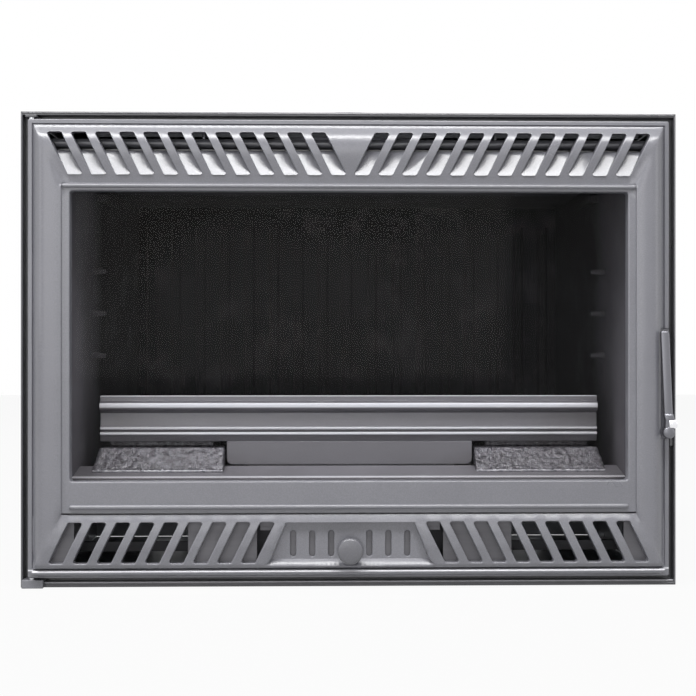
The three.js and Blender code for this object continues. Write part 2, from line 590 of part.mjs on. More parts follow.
function collarBolt([x, y]) {
  const seat = TOP_PLATE.high + 6.6;
  return join(rod('z', [x, y, TOP_PLATE.high + 0.3], 7, 3.9, 12), rod('z', [x, y, seat], 5.3, 7, 6));
}

function bafflePlate() {
  const { half, front, back, low, high } = BAFFLE;
  const plate = box(-half, half, front, back, low, high);
  return join(plate, rod('x', [-half, front, (low + high) / 2], 2 * half, (high - low) / 2, 12));
}

// ---- Fuel retainer, brackets, apron and grate ---------------------------------------------------

// A moulded bar: flat top band, torus, fascia, two beads and a narrow foot, with a hook behind it.
function fuelRetainer() {
  const { half, low, high, face, back } = RETAINER;
  const section = new THREE.Shape();
  section.moveTo(back, high);
  section.lineTo(face, high);
  section.lineTo(face, high - 5.5);
  section.absarc(face, high - 11.5, 6, Math.PI / 2, 1.5 * Math.PI, false);
  section.lineTo(face + 2, high - 19);
  section.lineTo(face + 1, high - 34);
  section.absarc(face + 0.5, high - 36, 1.8, Math.PI / 2, 1.5 * Math.PI, false);
  section.lineTo(face + 3, high - 38.2);
  section.lineTo(face + 3, high - 39.8);
  section.absarc(face + 0.5, high - 42, 2, Math.PI / 2, 1.5 * Math.PI, false);
  section.lineTo(face + 2, low);
  section.lineTo(back, low);
  const { upstand } = BRACKET;
  const { reach, thick, lap } = HOOK;
  section.lineTo(back, upstand + GAP);
  section.lineTo(back + reach - thick, upstand + GAP);
  section.lineTo(back + reach - thick, upstand - lap);
  section.lineTo(back + reach, upstand - lap);
  section.lineTo(back + reach, upstand + lap);
  section.lineTo(back, upstand + lap);
  section.closePath();
  return alongX(section, -half, half);
}

// A wedge on the sill with an upstand behind it that the retainer hangs on.
function retainerBracket() {
  const { inner, outer, foot, head, headZ, back, upstand } = BRACKET;
  const { crest, crestZ, frontZ, front } = SILL;
  const sillAt = (y) => frontZ + 1 + (crestZ - frontZ - 1) * (y - front - 1.5) / (crest - front - 1.5);
  const floor = FIREBOX.floor + GAP;
  const wedge = alongX(outline([
    [foot, sillAt(foot) + GAP], [foot, sillAt(foot) + 2.2], [head, headZ], [back, headZ], [back, floor],
    [crest + 1.2, floor], [crest + 1.2, sillAt(crest) + GAP]]), inner, outer);
  const shoulder = outer - 6;
  const taper = outline([
    [inner, 0], [outer, 0], [outer, sillAt(foot)], [shoulder, headZ], [shoulder, upstand], [inner, upstand]]);
  const post = box(inner + POST.inset, outer - POST.inset, POST.front, POST.back, headZ - 1, upstand);
  return join(wedge, post).intersect(alongY(taper, 0, 200));
}

function apronPlate() {
  const { half, low, high, front, back, corner } = APRON;
  const plate = alongY(rounded(rectangle(-half, half, low, high), corner), front, back);
  const top = box(-half, half, front, back, high - corner - 1, high);
  const web = box(-half + 20, half - 20, back - 1, back + 6, FIREBOX.floor + GAP, high - 8);
  return join(plate, top, web);
}

function grate() {
  const { half, front, back, low, rim, bars } = GRATE;
  const plate = box(-half, half, front, back, low, FIREBOX.floor);
  const pitch = (2 * half - 2 * rim) / bars;
  const gaps = [];
  for (let i = 0; i < bars; i++) {
    const x = -half + rim + (i + 0.5) * pitch;
    gaps.push(box(x - pitch * 0.27, x + pitch * 0.27, front + rim, back - rim, 0, 200));
  }
  return cut(plate, ...gaps);
}

// ---- Ash box and ash pan -----------------------------------------------------------------------

function ashBox() {
  const { half, wall, back, low, floor, high } = ASH_BOX;
  return cut(
    box(-half, half, FRAME.back + GAP, back, low, high),
    box(-half + wall, half - wall, 0, back - wall, floor, high + 1));
}

function ashPan() {
  const { half, front, back, low, high, wall } = ASH_PAN;
  const tray = cut(
    box(-half, half, front, back, low, high),
    box(-half + wall, half - wall, front + wall, back - wall, low + wall, high + 1));
  const pull = cut(
    box(-PULL.half, PULL.half, front - PULL.proud, front + 1, PULL.low, PULL.high),
    box(-PULL.hole, PULL.hole, front - PULL.proud - 1, front - 1, PULL.low - 1, PULL.high - 3));
  return join(tray, pull);
}

// ---- Convection casing -------------------------------------------------------------------------

function casingTop() {
  const { half, sheet, back, top } = CASING;
  const lid = box(-half, half, FRAME.back + GAP, back, top - sheet, top);
  const { left, right, front, low } = FLANGE;
  const flange = box(left, right, front, front + sheet, low, top - sheet / 2);
  return cut(join(lid, flange), rod('z', [0, FLUE.y, top - 9], 20, FLUE.bore + FLUE.wall + 8, 40));
}

function casingSide() {
  const { half, sheet, back, top, base } = CASING;
  return box(half - sheet, half, FRAME.back + GAP, back - sheet - GAP, base + GAP, top - sheet - GAP);
}

function casingRear() {
  const { half, sheet, back, top, base } = CASING;
  const vents = [];
  for (let i = 0; i < VENT.count; i++) {
    const x = (i - (VENT.count - 1) / 2) * VENT.pitch;
    vents.push(box(x - VENT.half, x + VENT.half, back - 9, back + 1, VENT.low, VENT.high));
  }
  return cut(box(-half, half, back - sheet, back, base + GAP, top - sheet - GAP), ...vents);
}

function casingBase() {
  const { half, back, base } = CASING;
  return box(-half, half, FRAME.back + GAP, back, 0, base);
}

const convectionRail = () =>
  box(ASH_BOX.half + GAP, CASING.half - CASING.sheet - GAP, RAIL.front, RAIL.back, RAIL.low, RAIL.high);

// A small gusset between the front frame and the flange of the casing top.
function gusset() {
  const { x, thick, low, back } = GUSSET;
  return box(x - thick / 2, x + thick / 2, FRAME.back + GAP, back, low, CASING.top - CASING.sheet - GAP);
}

// ---- The assembly ------------------------------------------------------------------------------

place('front_frame', frontFrame(), SHADED_IRON);
place('hinge_block_lower', hingeBlock(), PAINTED_IRON);
place('hinge_bracket_upper', hingeBracket(), SHADED_IRON);
place('hinge_pin_lower', hingePin(LIP.bottom + CLEAR, HINGE.lowerTop), BRIGHT_STEEL);
place('hinge_pin_upper', hingePin(HINGE.upperFoot, FRAME.height - LIP.top - CLEAR), BRIGHT_STEEL);
place('latch_keeper', latchKeeper(), BRIGHT_STEEL);

place('firebox_floor', fireboxFloor(), PAINTED_IRON);
place('side_wall_right', sideWall(), FIRED_IRON);
place('side_wall_left', mirrored(sideWall()), FIRED_IRON);
place('rear_wall', rearWall(), FIRED_IRON);
place('firebox_top', topPlate(), PAINTED_IRON);
place('flue_collar', flueCollar(), PAINTED_IRON);
collarBoltPlaces().forEach((at, i) => place(`collar_bolt_${i + 1}`, collarBolt(at), BRIGHT_STEEL));
place('baffle_plate', bafflePlate(), FIRED_IRON);
place('retainer_bracket_right', retainerBracket(), SHADED_IRON);
place('retainer_bracket_left', mirrored(retainerBracket()), SHADED_IRON);
place('apron_plate', apronPlate(), SHADED_IRON);
place('fuel_retainer', fuelRetainer(), PAINTED_IRON);
place('grate', grate(), FIRED_IRON);
place('ash_box', ashBox(), CASING_STEEL);
place('ash_pan', ashPan(), CASING_STEEL);

place('casing_top', casingTop(), CASING_STEEL);
place('casing_right', casingSide(), CASING_STEEL);
place('casing_left', mirrored(casingSide()), CASING_STEEL);
place('casing_rear', casingRear(), CASING_STEEL);
place('casing_base', casingBase(), CASING_STEEL);
place('convection_rail_right', convectionRail(), CASING_STEEL);
place('convection_rail_left', mirrored(convectionRail()), CASING_STEEL);
place('casing_gusset_right', gusset(), CASING_STEEL);
place('casing_gusset_left', mirrored(gusset()), CASING_STEEL);

place('door_frame', doorCasting(), PAINTED_IRON);
place('door_glass', glassPane(), CERAMIC_GLASS);
place('glass_gasket', glassGasket(), GLASS_ROPE);
place('door_gasket', ropeGasket(), GLASS_ROPE);
for (const [corner, x, z] of clipPlaces) {
  place(`glass_clip_${corner}`, glassClip(x, z), BRIGHT_STEEL);
  place(`clip_screw_${corner}`, clipScrew(x, z), BRIGHT_STEEL);
}
place('register_plate_right', registerPlate(), SHADED_IRON);
place('register_plate_left', mirrored(registerPlate()), SHADED_IRON);
place('slider_guide_upper', sliderGuide(SLIDER.high, 1), CASING_STEEL);
place('slider_guide_lower', sliderGuide(SLIDER.low, -1), CASING_STEEL);

place('air_slider', airSlider(), SHADED_IRON);
place('air_knob_stem', knobStem(), BRIGHT_STEEL);
place('air_knob', airKnob(), PAINTED_IRON);

place('handle_lever', handleLever(), PAINTED_IRON);
place('latch_shaft', latchShaft(), BRIGHT_STEEL);
place('latch_cam', latchCam(), BRIGHT_STEEL);
place('latch_washer', latchWasher(), BRIGHT_STEEL);
place('latch_nut', latchNut(), BRIGHT_STEEL);

export default insert;
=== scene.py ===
"""Looks of a built-in cast-iron fireplace insert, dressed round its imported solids."""

import logging
import math
from dataclasses import dataclass, field
from enum import Enum
from functools import lru_cache
from typing import Callable, Iterable, Optional, Sequence

import bmesh
import bpy
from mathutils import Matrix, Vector, noise
from mathutils.geometry import delaunay_2d_cdt


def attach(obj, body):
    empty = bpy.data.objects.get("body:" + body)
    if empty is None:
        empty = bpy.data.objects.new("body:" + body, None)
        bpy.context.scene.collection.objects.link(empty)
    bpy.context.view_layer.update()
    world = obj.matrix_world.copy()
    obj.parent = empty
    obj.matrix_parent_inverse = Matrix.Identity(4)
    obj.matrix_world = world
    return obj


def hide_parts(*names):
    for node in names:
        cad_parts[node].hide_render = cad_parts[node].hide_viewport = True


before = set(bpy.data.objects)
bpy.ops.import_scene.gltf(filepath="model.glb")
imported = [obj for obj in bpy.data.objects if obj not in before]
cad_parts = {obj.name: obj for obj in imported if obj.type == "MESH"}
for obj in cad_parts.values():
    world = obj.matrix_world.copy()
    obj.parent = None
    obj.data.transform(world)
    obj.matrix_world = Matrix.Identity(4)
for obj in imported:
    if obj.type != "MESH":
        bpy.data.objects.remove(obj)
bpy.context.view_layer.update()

LOG = logging.getLogger("insert")
MM = 0.001
RIM_Y = -187.0  # the flat rim of the closed door lies at this depth of the shared frame, in mm
WHITE = (1.0, 1.0, 1.0, 1.0)

Flat = tuple[float, float]  # x and z, in mm
Point = tuple[float, float, float]  # x, depth behind the door's rim, and z, in mm
Face = tuple[int, ...]
Cuts = Callable[[Flat, Flat], Sequence[float]]  # the shares at which a straight run is divided
Tree = bpy.types.NodeTree
Node = bpy.types.Node
Socket = bpy.types.NodeSocket
Piece = bpy.types.Object


class Body(str, Enum):
    """The bodies that pieces ride on."""

    INSERT = "insert_body"
    DOOR = "door"
    AIR = "air_control"
    HANDLE = "handle"
    RETAINER = "retainer"
    GRATE = "floor_grate"


class Slot(str, Enum):
    """The record's material slots."""

    PAINTED = "painted_iron"
    FIRED = "fired_iron"
    CASING = "casing_steel"
    BRIGHT = "bright_steel"
    GLASS = "ceramic_glass"
    FIBRE = "glass_fibre"


# ---- Small sums --------------------------------------------------------------------------


def clamp(value: float, low: float = 0.0, high: float = 1.0) -> float:
    """Returns value held between low and high."""
    return max(low, min(high, value))


def between(a: float, b: float, share: float) -> float:
    """Returns the value this share of the way from a to b."""
    return a + (b - a) * share


def steps(low: float, high: float, pitch: float) -> list[float]:
    """Returns evenly spaced values from low to high, at most pitch apart, with both ends."""
    count = max(1, math.ceil((high - low) / pitch))
    return [between(low, high, i / count) for i in range(count + 1)]


def circle(radius: float, count: int) -> list[Flat]:
    """Returns this many evenly spaced points on a circle round the origin."""
    turns = [2 * math.pi * k / count for k in range(count)]
    return [(radius * math.cos(turn), radius * math.sin(turn)) for turn in turns]


def turning(profile: Sequence[Flat], centre: Point, sides: int) -> list[list[Point]]:
    """Turns a profile round an axis along Y.

    Args:
        profile: Radii and depths from one end to the other.
        centre: Where the axis starts.
        sides: Steps round the axis.

    Returns:
        One ring for each point of the profile.
    """
    x, y, z = centre
    return [[(x + a, y + depth, z + b) for a, b in circle(radius, sides)]
            for radius, depth in profile]


def linear(code: str) -> tuple[float, float, float, float]:
    """Turns an sRGB hex colour into linear light.

    Args:
        code: The colour, such as "#8b8b92".

    Returns:
        Red, green, blue and an alpha of 1.
    """
    parts = [int(code[i : i + 2], 16) / 255 for i in (1, 3, 5)]
    red, green, blue = (
        c / 12.92 if c <= 0.04045 else ((c + 0.055) / 1.055) ** 2.4 for c in parts)
    return red, green, blue, 1.0


def per_metre(size_mm: float) -> float:
    """Returns the texture scale at which one feature is about size_mm across."""
    return 1000.0 / size_mm


# ---- Finishes ----------------------------------------------------------------------------


def add_node(tree: Tree, kind: str, inputs: Optional[dict] = None, **settings: object) -> Node:
    """Adds a node with its settings, and sets or links its inputs.

    Args:
        tree: The tree that gets the node.
        kind: The node's type name.
        inputs: By input name or number, a value, a socket, a node whose first output is
            meant, or a list of these for an input that takes several.
        settings: The node's own properties.

    Returns:
        The new node.
    """
    node = tree.nodes.new(kind)
    for name, value in settings.items():
        setattr(node, name, value)
    for name, value in (inputs or {}).items():
        for source in value if isinstance(value, list) else [value]:
            if isinstance(source, Node):
                source = source.outputs[0]
            if isinstance(source, Socket):
                tree.links.new(source, node.inputs[name])
            else:
                node.inputs[name].default_value = source
    return node


@dataclass(frozen=True)
class Finish:
    """What every finish has: a name, and a tree that its own make method fills."""

    name: str

    def material(self) -> bpy.types.Material:
        """Makes the finish a Blender material, once.

        Returns:
            The material.
        """
        found = bpy.data.materials.get(self.name)
        if found:
            return found
        made = bpy.data.materials.new(self.name)
        made.use_nodes = True
        made.node_tree.nodes.clear()
        surface = self.make(made.node_tree)
        add_node(made.node_tree, "ShaderNodeOutputMaterial", {"Surface": surface})
        return made

    def make(self, tree: Tree) -> Node:
        """Fills the tree and returns its shader."""
        raise NotImplementedError

    @staticmethod
    def place(tree: Tree) -> Socket:
        """Returns the Object coordinates, in metres."""
        return add_node(tree, "ShaderNodeTexCoord").outputs["Object"]

    @staticmethod
    def surface(tree: Tree, colour: object, rough: object, relief: Node, strength: float,
                height_mm: float, more: Optional[dict] = None) -> Node:
        """Ends a tree with a bump and the shader.

        Args:
            tree: The material's tree.
            colour: The base colour, or what gives it.
            rough: The roughness, or what gives it.
            relief: What gives the height.
            strength: The bump's strength.
            height_mm: The bump's full height, in mm.
            more: Further inputs of the shader.

        Returns:
            The shader.
        """
        bump = add_node(tree, "ShaderNodeBump",
                        {"Height": relief, "Strength": strength, "Distance": height_mm * MM})
        return add_node(tree, "ShaderNodeBsdfPrincipled",
                        {"Base Color": colour, "Roughness": rough, "Normal": bump, **(more or {})})


@dataclass(frozen=True)
class CastPaint(Finish):
    """Metallic grey stove paint on sand-cast iron: satin, with the sand's grain under it."""

    light: str = "#84848b"
    dark: str = "#76767d"
    grain_mm: float = 1.1
    grain_height_mm: float = 0.1
    pit_mm: float = 2.86  # where the mould's grains left their marks
    cloud_mm: float = 70.0
    fleck: Flat = (0.9, 1.08)  # the grain's darkest and lightest flecks, as shares of the colour
    roughness: float = 0.3
    swing: float = 0.05  # how far the clouds stir the roughness
    gloss: float = 0.85  # the shader's specular level
    # The colour of the painted highlight bands.
    highlight_colour: str = "#e9e9ee"
    highlight_bands: tuple[Flat, ...] = ()  # heights of painted highlight bands on raised edges and half of each one's width, in mm
    highlight_core_share: float = 0.55  # the share of that width that takes the full highlight colour

    def make(self, tree: Tree) -> Node:
        """Mixes slow clouds and fine flecks, and adds the grain and pits as relief.

        Args:
            tree: The material's tree.

        Returns:
            The shader.
        """
        place = self.place(tree)
        cloud, grain = (
            add_node(tree, "ShaderNodeTexNoise", {"Vector": place, "Scale": per_metre(size),
                                                  "Detail": detail, "Roughness": rough})
            for size, detail, rough in ((self.cloud_mm, 3.0, 0.6), (self.grain_mm, 2.0, 0.55)))
        pits = add_node(tree, "ShaderNodeTexVoronoi",
                        {"Vector": place, "Scale": per_metre(self.pit_mm)})
        tone = add_node(tree, "ShaderNodeMix",
                        {0: cloud, 6: linear(self.dark), 7: linear(self.light)}, data_type="RGBA")
        fleck = add_node(tree, "ShaderNodeMapRange",
                         {"Value": grain, "From Min": 0.35, "From Max": 0.7,
                          "To Min": self.fleck[0], "To Max": self.fleck[1]})
        colour = add_node(tree, "ShaderNodeVectorMath", {0: tone.outputs[2], "Scale": fleck},
                          operation="SCALE")
        rough = add_node(tree, "ShaderNodeMapRange",
                         {"Value": cloud, "From Min": 0.1, "From Max": 0.9,
                          "To Min": self.roughness - self.swing,
                          "To Max": self.roughness + self.swing})
        relief = add_node(tree, "ShaderNodeMath", {0: grain, 1: pits}, operation="ADD")
        # Painted highlights: pale bands are laid over the paint at given heights.
        return self.surface(tree, self.add_highlight_bands(tree, place, colour.outputs[0]), rough, relief, 0.6,
                            self.grain_height_mm, {"Specular IOR Level": self.gloss})

    def add_highlight_bands(self, tree: Tree, place: Socket, coat: Socket) -> Socket:
        """Lays pale bands over the coat as painted highlights on raised edges.

        Args:
            tree: The material's tree.
            place: The Object coordinates.
            coat: The coat's colour.

        Returns:
            The colour with its painted highlight bands.
        """
        for height, reach in self.highlight_bands:
            level = add_node(tree, "ShaderNodeSeparateXYZ", {"Vector": place}).outputs["Z"]
            above = add_node(tree, "ShaderNodeMath", {0: level, 1: height * MM},
                             operation="SUBTRACT")
            away = add_node(tree, "ShaderNodeMath", {0: above}, operation="ABSOLUTE")
            highlight_share = add_node(tree, "ShaderNodeMapRange",
                            {"Value": away, "From Min": reach * self.highlight_core_share * MM,
                             "From Max": reach * MM, "To Min": 1.0, "To Max": 0.0})
            coat = add_node(tree, "ShaderNodeMix", {0: highlight_share, 6: coat, 7: linear(self.highlight_colour)},
                            data_type="RGBA").outputs[2]
        return coat


@dataclass(frozen=True)
class FiredIron(Finish):
    """Cast iron fired many times: matt, with drifts of soot, and darker towards the back as soot
    and painted shade.
    """

    near: str = "#86848a"
    deep: str = "#151416"
    near_y: float = -0.165  # metres in the shared frame, where the darkening by soot and painted shade begins
    deep_y: float = -0.020
    drift_mm: float = 45.0
    grain_mm: float = 2.2
    roughness: float = 0.82

    def make(self, tree: Tree) -> Node:
        """Darkens the iron from near to deep as soot and painted shade, with drifts of soot.

        Args:
            tree: The material's tree.

        Returns:
            The shader.
        """
        place = self.place(tree)
        depth = add_node(tree, "ShaderNodeSeparateXYZ", {"Vector": place}).outputs["Y"]
        cloud, grain = (
            add_node(tree, "ShaderNodeTexNoise", {"Vector": place, "Scale": per_metre(size),
                                                  "Detail": detail, "Roughness": rough})
            for size, detail, rough in ((self.drift_mm, 4.0, 0.65), (self.grain_mm, 3.0, 0.6)))
        # Soot and painted shade: the iron darkens from near_y to deep_y, towards the back of the
        # firebox.
        soot_and_shade = add_node(tree, "ShaderNodeMapRange",
                        {"Value": depth, "From Min": self.near_y, "From Max": self.deep_y})
        drift = add_node(tree, "ShaderNodeMath", {0: cloud, 1: 0.5, 2: soot_and_shade},
                         operation="MULTIPLY_ADD")
        share = add_node(tree, "ShaderNodeMath", {0: drift, 1: 0.25}, operation="SUBTRACT",
                         use_clamp=True)
        colour = add_node(tree, "ShaderNodeMix",
                          {0: share, 6: linear(self.near), 7: linear(self.deep)},
                          data_type="RGBA")
        rough = add_node(tree, "ShaderNodeMapRange",
                         {"Value": grain, "From Min": 0.3, "From Max": 0.7,
                          "To Min": self.roughness - 0.1, "To Max": self.roughness + 0.08})
        return self.surface(tree, colour.outputs[2], rough, grain, 0.7, 0.25, {"Metallic": 0.15})


@dataclass(frozen=True)
class RoughGlaze(Finish):
    """Coarse as-cast iron under glossy stove paint: lumpy, with small sharp glints."""

    light: str = "#6c6a70"
    dark: str = "#3a383d"
    lump_mm: float = 5.5
    grit_mm: float = 1.6
    roughness: float = 0.17

    def make(self, tree: Tree) -> Node:
        """Darkens the hollows between lumps as painted shade and adds grit to their relief.

        Args:
            tree: The material's tree.

        Returns:
            The shader.
        """
        place = self.place(tree)
        lumps = add_node(tree, "ShaderNodeTexNoise",
                         {"Vector": place, "Scale": per_metre(self.lump_mm), "Detail": 4.0,
                          "Roughness": 0.62})
        grit = add_node(tree, "ShaderNodeTexVoronoi",
                        {"Vector": place, "Scale": per_metre(self.grit_mm)})
        # Painted shade: the colour goes dark where the lumps are low.
        tone = add_node(tree, "ShaderNodeMapRange",
                        {"Value": lumps, "From Min": 0.35, "From Max": 0.65})
        colour = add_node(tree, "ShaderNodeMix",
                          {0: tone, 6: linear(self.dark), 7: linear(self.light)},
                          data_type="RGBA")
        height = add_node(tree, "ShaderNodeMath", {0: grit, 1: 0.35, 2: lumps},
                          operation="MULTIPLY_ADD")
        return self.surface(tree, colour.outputs[2], self.roughness, height, 0.9, 0.9,
                            {"Metallic": 0.15})


@dataclass(frozen=True)
class SheetSteel(Finish):
    """Rolled sheet steel under a thin coat: even, with faint rolling lines and a cloudy sheen."""

    light: str
    dark: str
    roughness: float
    metallic: float
    line_mm: float = 1.6
    cloud_mm: float = 38.0

    def make(self, tree: Tree) -> Node:
        """Clouds the sheet's colour and scores its rolling lines.

        Args:
            tree: The material's tree.

        Returns:
            The shader.
        """
        place = self.place(tree)
        cloud = add_node(tree, "ShaderNodeTexVoronoi",
                         {"Vector": place, "Scale": per_metre(self.cloud_mm)},
                         feature="SMOOTH_F1")
        # Rolling lines run along the sheet, so the pattern is stretched forty times along X.
        stretched = add_node(tree, "ShaderNodeMapping",
                             {"Vector": place, "Scale": (0.025, 1.0, 1.0)})
        lines = add_node(tree, "ShaderNodeTexNoise",
                         {"Vector": stretched, "Scale": per_metre(self.line_mm)})
        colour = add_node(tree, "ShaderNodeMix",
                          {0: cloud, 6: linear(self.light), 7: linear(self.dark)},
                          data_type="RGBA")
        rough = add_node(tree, "ShaderNodeMapRange",
                         {"Value": lines, "From Min": 0.3, "From Max": 0.7,
                          "To Min": self.roughness - 0.07, "To Max": self.roughness + 0.07})
        return self.surface(tree, colour.outputs[2], rough, lines, 0.25, 0.05,
                            {"Metallic": self.metallic})


@dataclass(frozen=True)
class BrightSteel(Finish):
    """Plated or polished steel: clear reflections, dulled by fine handling marks."""

    colour: str = "#c4c5c9"
    roughness: float = 0.24
    scratch_mm: float = 0.9

    def make(self, tree: Tree) -> Node:
        """Dulls the metal in fine marks.

        Args:
            tree: The material's tree.

        Returns:
            The shader.
        """
        marks = add_node(tree, "ShaderNodeTexNoise",
                         {"Vector": self.place(tree), "Scale": per_metre(self.scratch_mm),
                          "Detail": 3.0, "Roughness": 0.7})
        rough = add_node(tree, "ShaderNodeMapRange",
                         {"Value": marks, "From Min": 0.3, "From Max": 0.7,
                          "To Min": self.roughness - 0.07, "To Max": self.roughness + 0.1})
        return self.surface(tree, linear(self.colour), rough, marks, 0.2, 0.03,
                            {"Metallic": 1.0})


@dataclass(frozen=True)
class StoveGlass(Finish):
    """Ceramic stove glass: all but clear, with a thin haze from use towards its edges."""

    tint: str = "#fafafb"
    haze: str = "#d8d6d4"
    half_mm: float = 303.5
    centre_z_mm: float = 268.0
    half_height_mm: float = 162.5
    wisp_mm: float = 60.0
    glance: float = 4.0  # the power at which its mirroring grows with a slanting look
    mirror: Flat = (0.7, 0.003)  # its share at a glancing look, and what it has from the front

    def make(self, tree: Tree) -> Node:
        """Lets the view through, hazed at the pane's edges, and mirrors a slanting look.

        Args:
            tree: The material's tree.

        Returns:
            The shader.
        """
        place = self.place(tree)
        centred = add_node(tree, "ShaderNodeMapping",
                           {"Vector": place,
                            "Location": (0.0, 0.0, -self.centre_z_mm / self.half_height_mm),
                            "Scale": (1000 / self.half_mm, 0.0, 1000 / self.half_height_mm)})
        reach = add_node(tree, "ShaderNodeTexGradient", {"Vector": centred},
                         gradient_type="SPHERICAL")
        wisps = add_node(tree, "ShaderNodeTexNoise",
                         {"Vector": place, "Scale": per_metre(self.wisp_mm), "Detail": 4.0})
        edge = add_node(tree, "ShaderNodeMapRange",
                        {"Value": reach.outputs["Fac"], "From Max": 0.15,
                         "To Min": 0.5, "To Max": 0.0})
        share = add_node(tree, "ShaderNodeMath", {0: edge, 1: wisps}, operation="MULTIPLY")
        passed = add_node(tree, "ShaderNodeMix",
                          {0: share, 6: linear(self.tint), 7: linear(self.haze)},
                          data_type="RGBA")
        through = add_node(tree, "ShaderNodeBsdfTransparent", {"Color": passed.outputs[2]})
        shine = add_node(tree, "ShaderNodeBsdfGlossy", {"Color": WHITE, "Roughness": 0.04})
        # Both faces of the pane mirror alike, which a Fresnel node would not give on the inner one.
        facing = add_node(tree, "ShaderNodeLayerWeight").outputs["Facing"]
        glance = add_node(tree, "ShaderNodeMath", {0: facing, 1: self.glance}, operation="POWER")
        mirror = add_node(tree, "ShaderNodeMath",
                          {0: glance, 1: self.mirror[0], 2: self.mirror[1]},
                          operation="MULTIPLY_ADD")
        return add_node(tree, "ShaderNodeMixShader", {0: mirror, 1: through, 2: shine})


@dataclass(frozen=True)
class GlassRope(Finish):
    """Black glass-fibre yarn: matt, with a fine broken sheen along its strands."""

    light: str = "#4a4846"
    dark: str = "#262524"
    yarn_mm: float = 1.2

    def make(self, tree: Tree) -> Node:
        """Breaks the colour, the sheen and the relief into fine yarn.

        Args:
            tree: The material's tree.

        Returns:
            The shader.
        """
        yarn = add_node(tree, "ShaderNodeTexNoise",
                        {"Vector": self.place(tree), "Scale": per_metre(self.yarn_mm),
                         "Detail": 3.0, "Roughness": 0.7})
        colour = add_node(tree, "ShaderNodeMix",
                          {0: yarn, 6: linear(self.dark), 7: linear(self.light)},
                          data_type="RGBA")
        rough = add_node(tree, "ShaderNodeMapRange",
                         {"Value": yarn, "From Min": 0.3, "From Max": 0.7,
                          "To Min": 0.75, "To Max": 0.95})
        return self.surface(tree, colour.outputs[2], rough, yarn, 0.8, 0.3)


# Sprayed castings: one satin grey, darker on the frame and knob; pale bands, the edge bead and the
# lip are painted highlights.
STOVE_PAINT = CastPaint("Grey stove paint on cast iron")
# A painted highlight band along the door's bottom bead.
DOOR_PAINT = CastPaint("Grey stove paint on the door's casting", highlight_bands=((18.9, 1.1),))
FRAME_PAINT = CastPaint("Dark stove paint on cast iron", light="#4e4e53", dark="#434347")
EDGE_HIGHLIGHT_PAINT = CastPaint("Paler frame paint on its edge bead, a painted highlight", light="#636368", dark="#56565b")
LIP_HIGHLIGHT_PAINT = CastPaint("Near-white paint on the frame's lip, a painted highlight", light="#c9c9ce", dark="#b4b4b9")
KNOB_PAINT = CastPaint("Dark grey stove paint on the knob", light="#6d6d73", dark="#606066")
# Inside the door the paint is darker, on the sill paler, and the pale bands on raised edges are
# painted highlights.
SILL_PAINT = CastPaint("Darker stove paint inside the door, with painted highlights", light="#6e6c71", dark="#5f5d62", gloss=1.0,
                       highlight_bands=((190.9, 3.0), (165.2, 1.7), (159.6, 1.9), (201.2, 0.5)))
FLOOR_PAINT = CastPaint("Paler stove paint on the sill, with a painted highlight", light="#8d8b90", dark="#7b797e",
                        highlight_bands=((114.8, 0.9),))
BRACKET_GLAZE = RoughGlaze("Glossy rough cast iron")
# The brackets' paint run is near-white, a painted highlight.
PAINT_RUN_HIGHLIGHT = RoughGlaze("Run of stove paint, painted near-white as a highlight", light="#dcdce1", dark="#8f8f95")
SOOT_AND_SHADE_IRON = FiredIron("Fired cast iron, sooted and shaded darker towards the back")
# Sheets: bright galvanised outside, dull or oiled black where only edges show.
CASING_SHEET = SheetSteel("Galvanised sheet steel", "#a4a6ab", "#8c8e93", 0.38, 0.95)
PLATE_STEEL = SheetSteel("Dull sheet steel", "#77767a", "#656468", 0.5, 0.5)
BLACK_SHEET = SheetSteel("Oiled black sheet steel", "#57575b", "#46464a", 0.5, 0.4)
# Fittings: plated screws and pins, a satin lever, and its elbow in paler steel as a painted
# highlight.
ZINC_STEEL = BrightSteel("Zinc-plated steel")
ELBOW_HIGHLIGHT_STEEL = BrightSteel("Pale steel of the elbow, a painted highlight", colour="#f0f0f3", roughness=0.2)
LEVER_STEEL = BrightSteel("Satin nickel-plated steel", colour="#75757a", roughness=0.32)
PANE = StoveGlass("Ceramic stove glass")
ROPE_YARN = GlassRope("Glass-fibre rope")


# ---- Making a piece ----------------------------------------------------------------------


def in_scene(name: str, data: Optional[bpy.types.ID]) -> Piece:
    """Makes an object of this data at the origin and links it to the scene.

    Args:
        name: The object's name.
        data: Its mesh, curve, light or camera.

    Returns:
        The new object.
    """
    made = bpy.data.objects.new(name, data)
    bpy.context.scene.collection.objects.link(made)
    return made


def shaded(mesh: bpy.types.Mesh, name: str, crease_deg: float) -> Piece:
    """Makes an object of a mesh, smooth except at its sharp edges.

    Args:
        mesh: The mesh.
        name: The object's name.
        crease_deg: Edges that turn more than this stay sharp.

    Returns:
        The new object.
    """
    mesh.shade_smooth()
    mesh.set_sharp_from_angle(angle=math.radians(crease_deg))
    return in_scene(name, mesh)


def settled(source: Piece) -> bpy.types.Mesh:
    """Applies an object's modifiers and removes it.

    Args:
        source: The object.

    Returns:
        The plain mesh that it gave.
    """
    seen = source.evaluated_get(bpy.context.evaluated_depsgraph_get())
    mesh = bpy.data.meshes.new_from_object(seen)
    source.modifiers.clear()
    bpy.data.objects.remove(source)
    return mesh


def finish_piece(made: Piece, finish: Finish, body: Body, slot: Slot, *nodes: str) -> None:
    """Gives a finished mesh its material and its place in the frame, and logs it.

    Args:
        made: The piece, already in the shared frame.
        finish: Its finish.
        body: The body that it rides on.
        slot: The record's material slot. Not used.
        nodes: The CAD nodes that it stands for.
    """
    made.data.materials.clear()
    made.data.materials.append(finish.material())
    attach(made, body.value)
    if nodes:
        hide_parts(*nodes)
    LOG.info("%s: %d faces on %s", made.name, len(made.data.polygons), body.value)


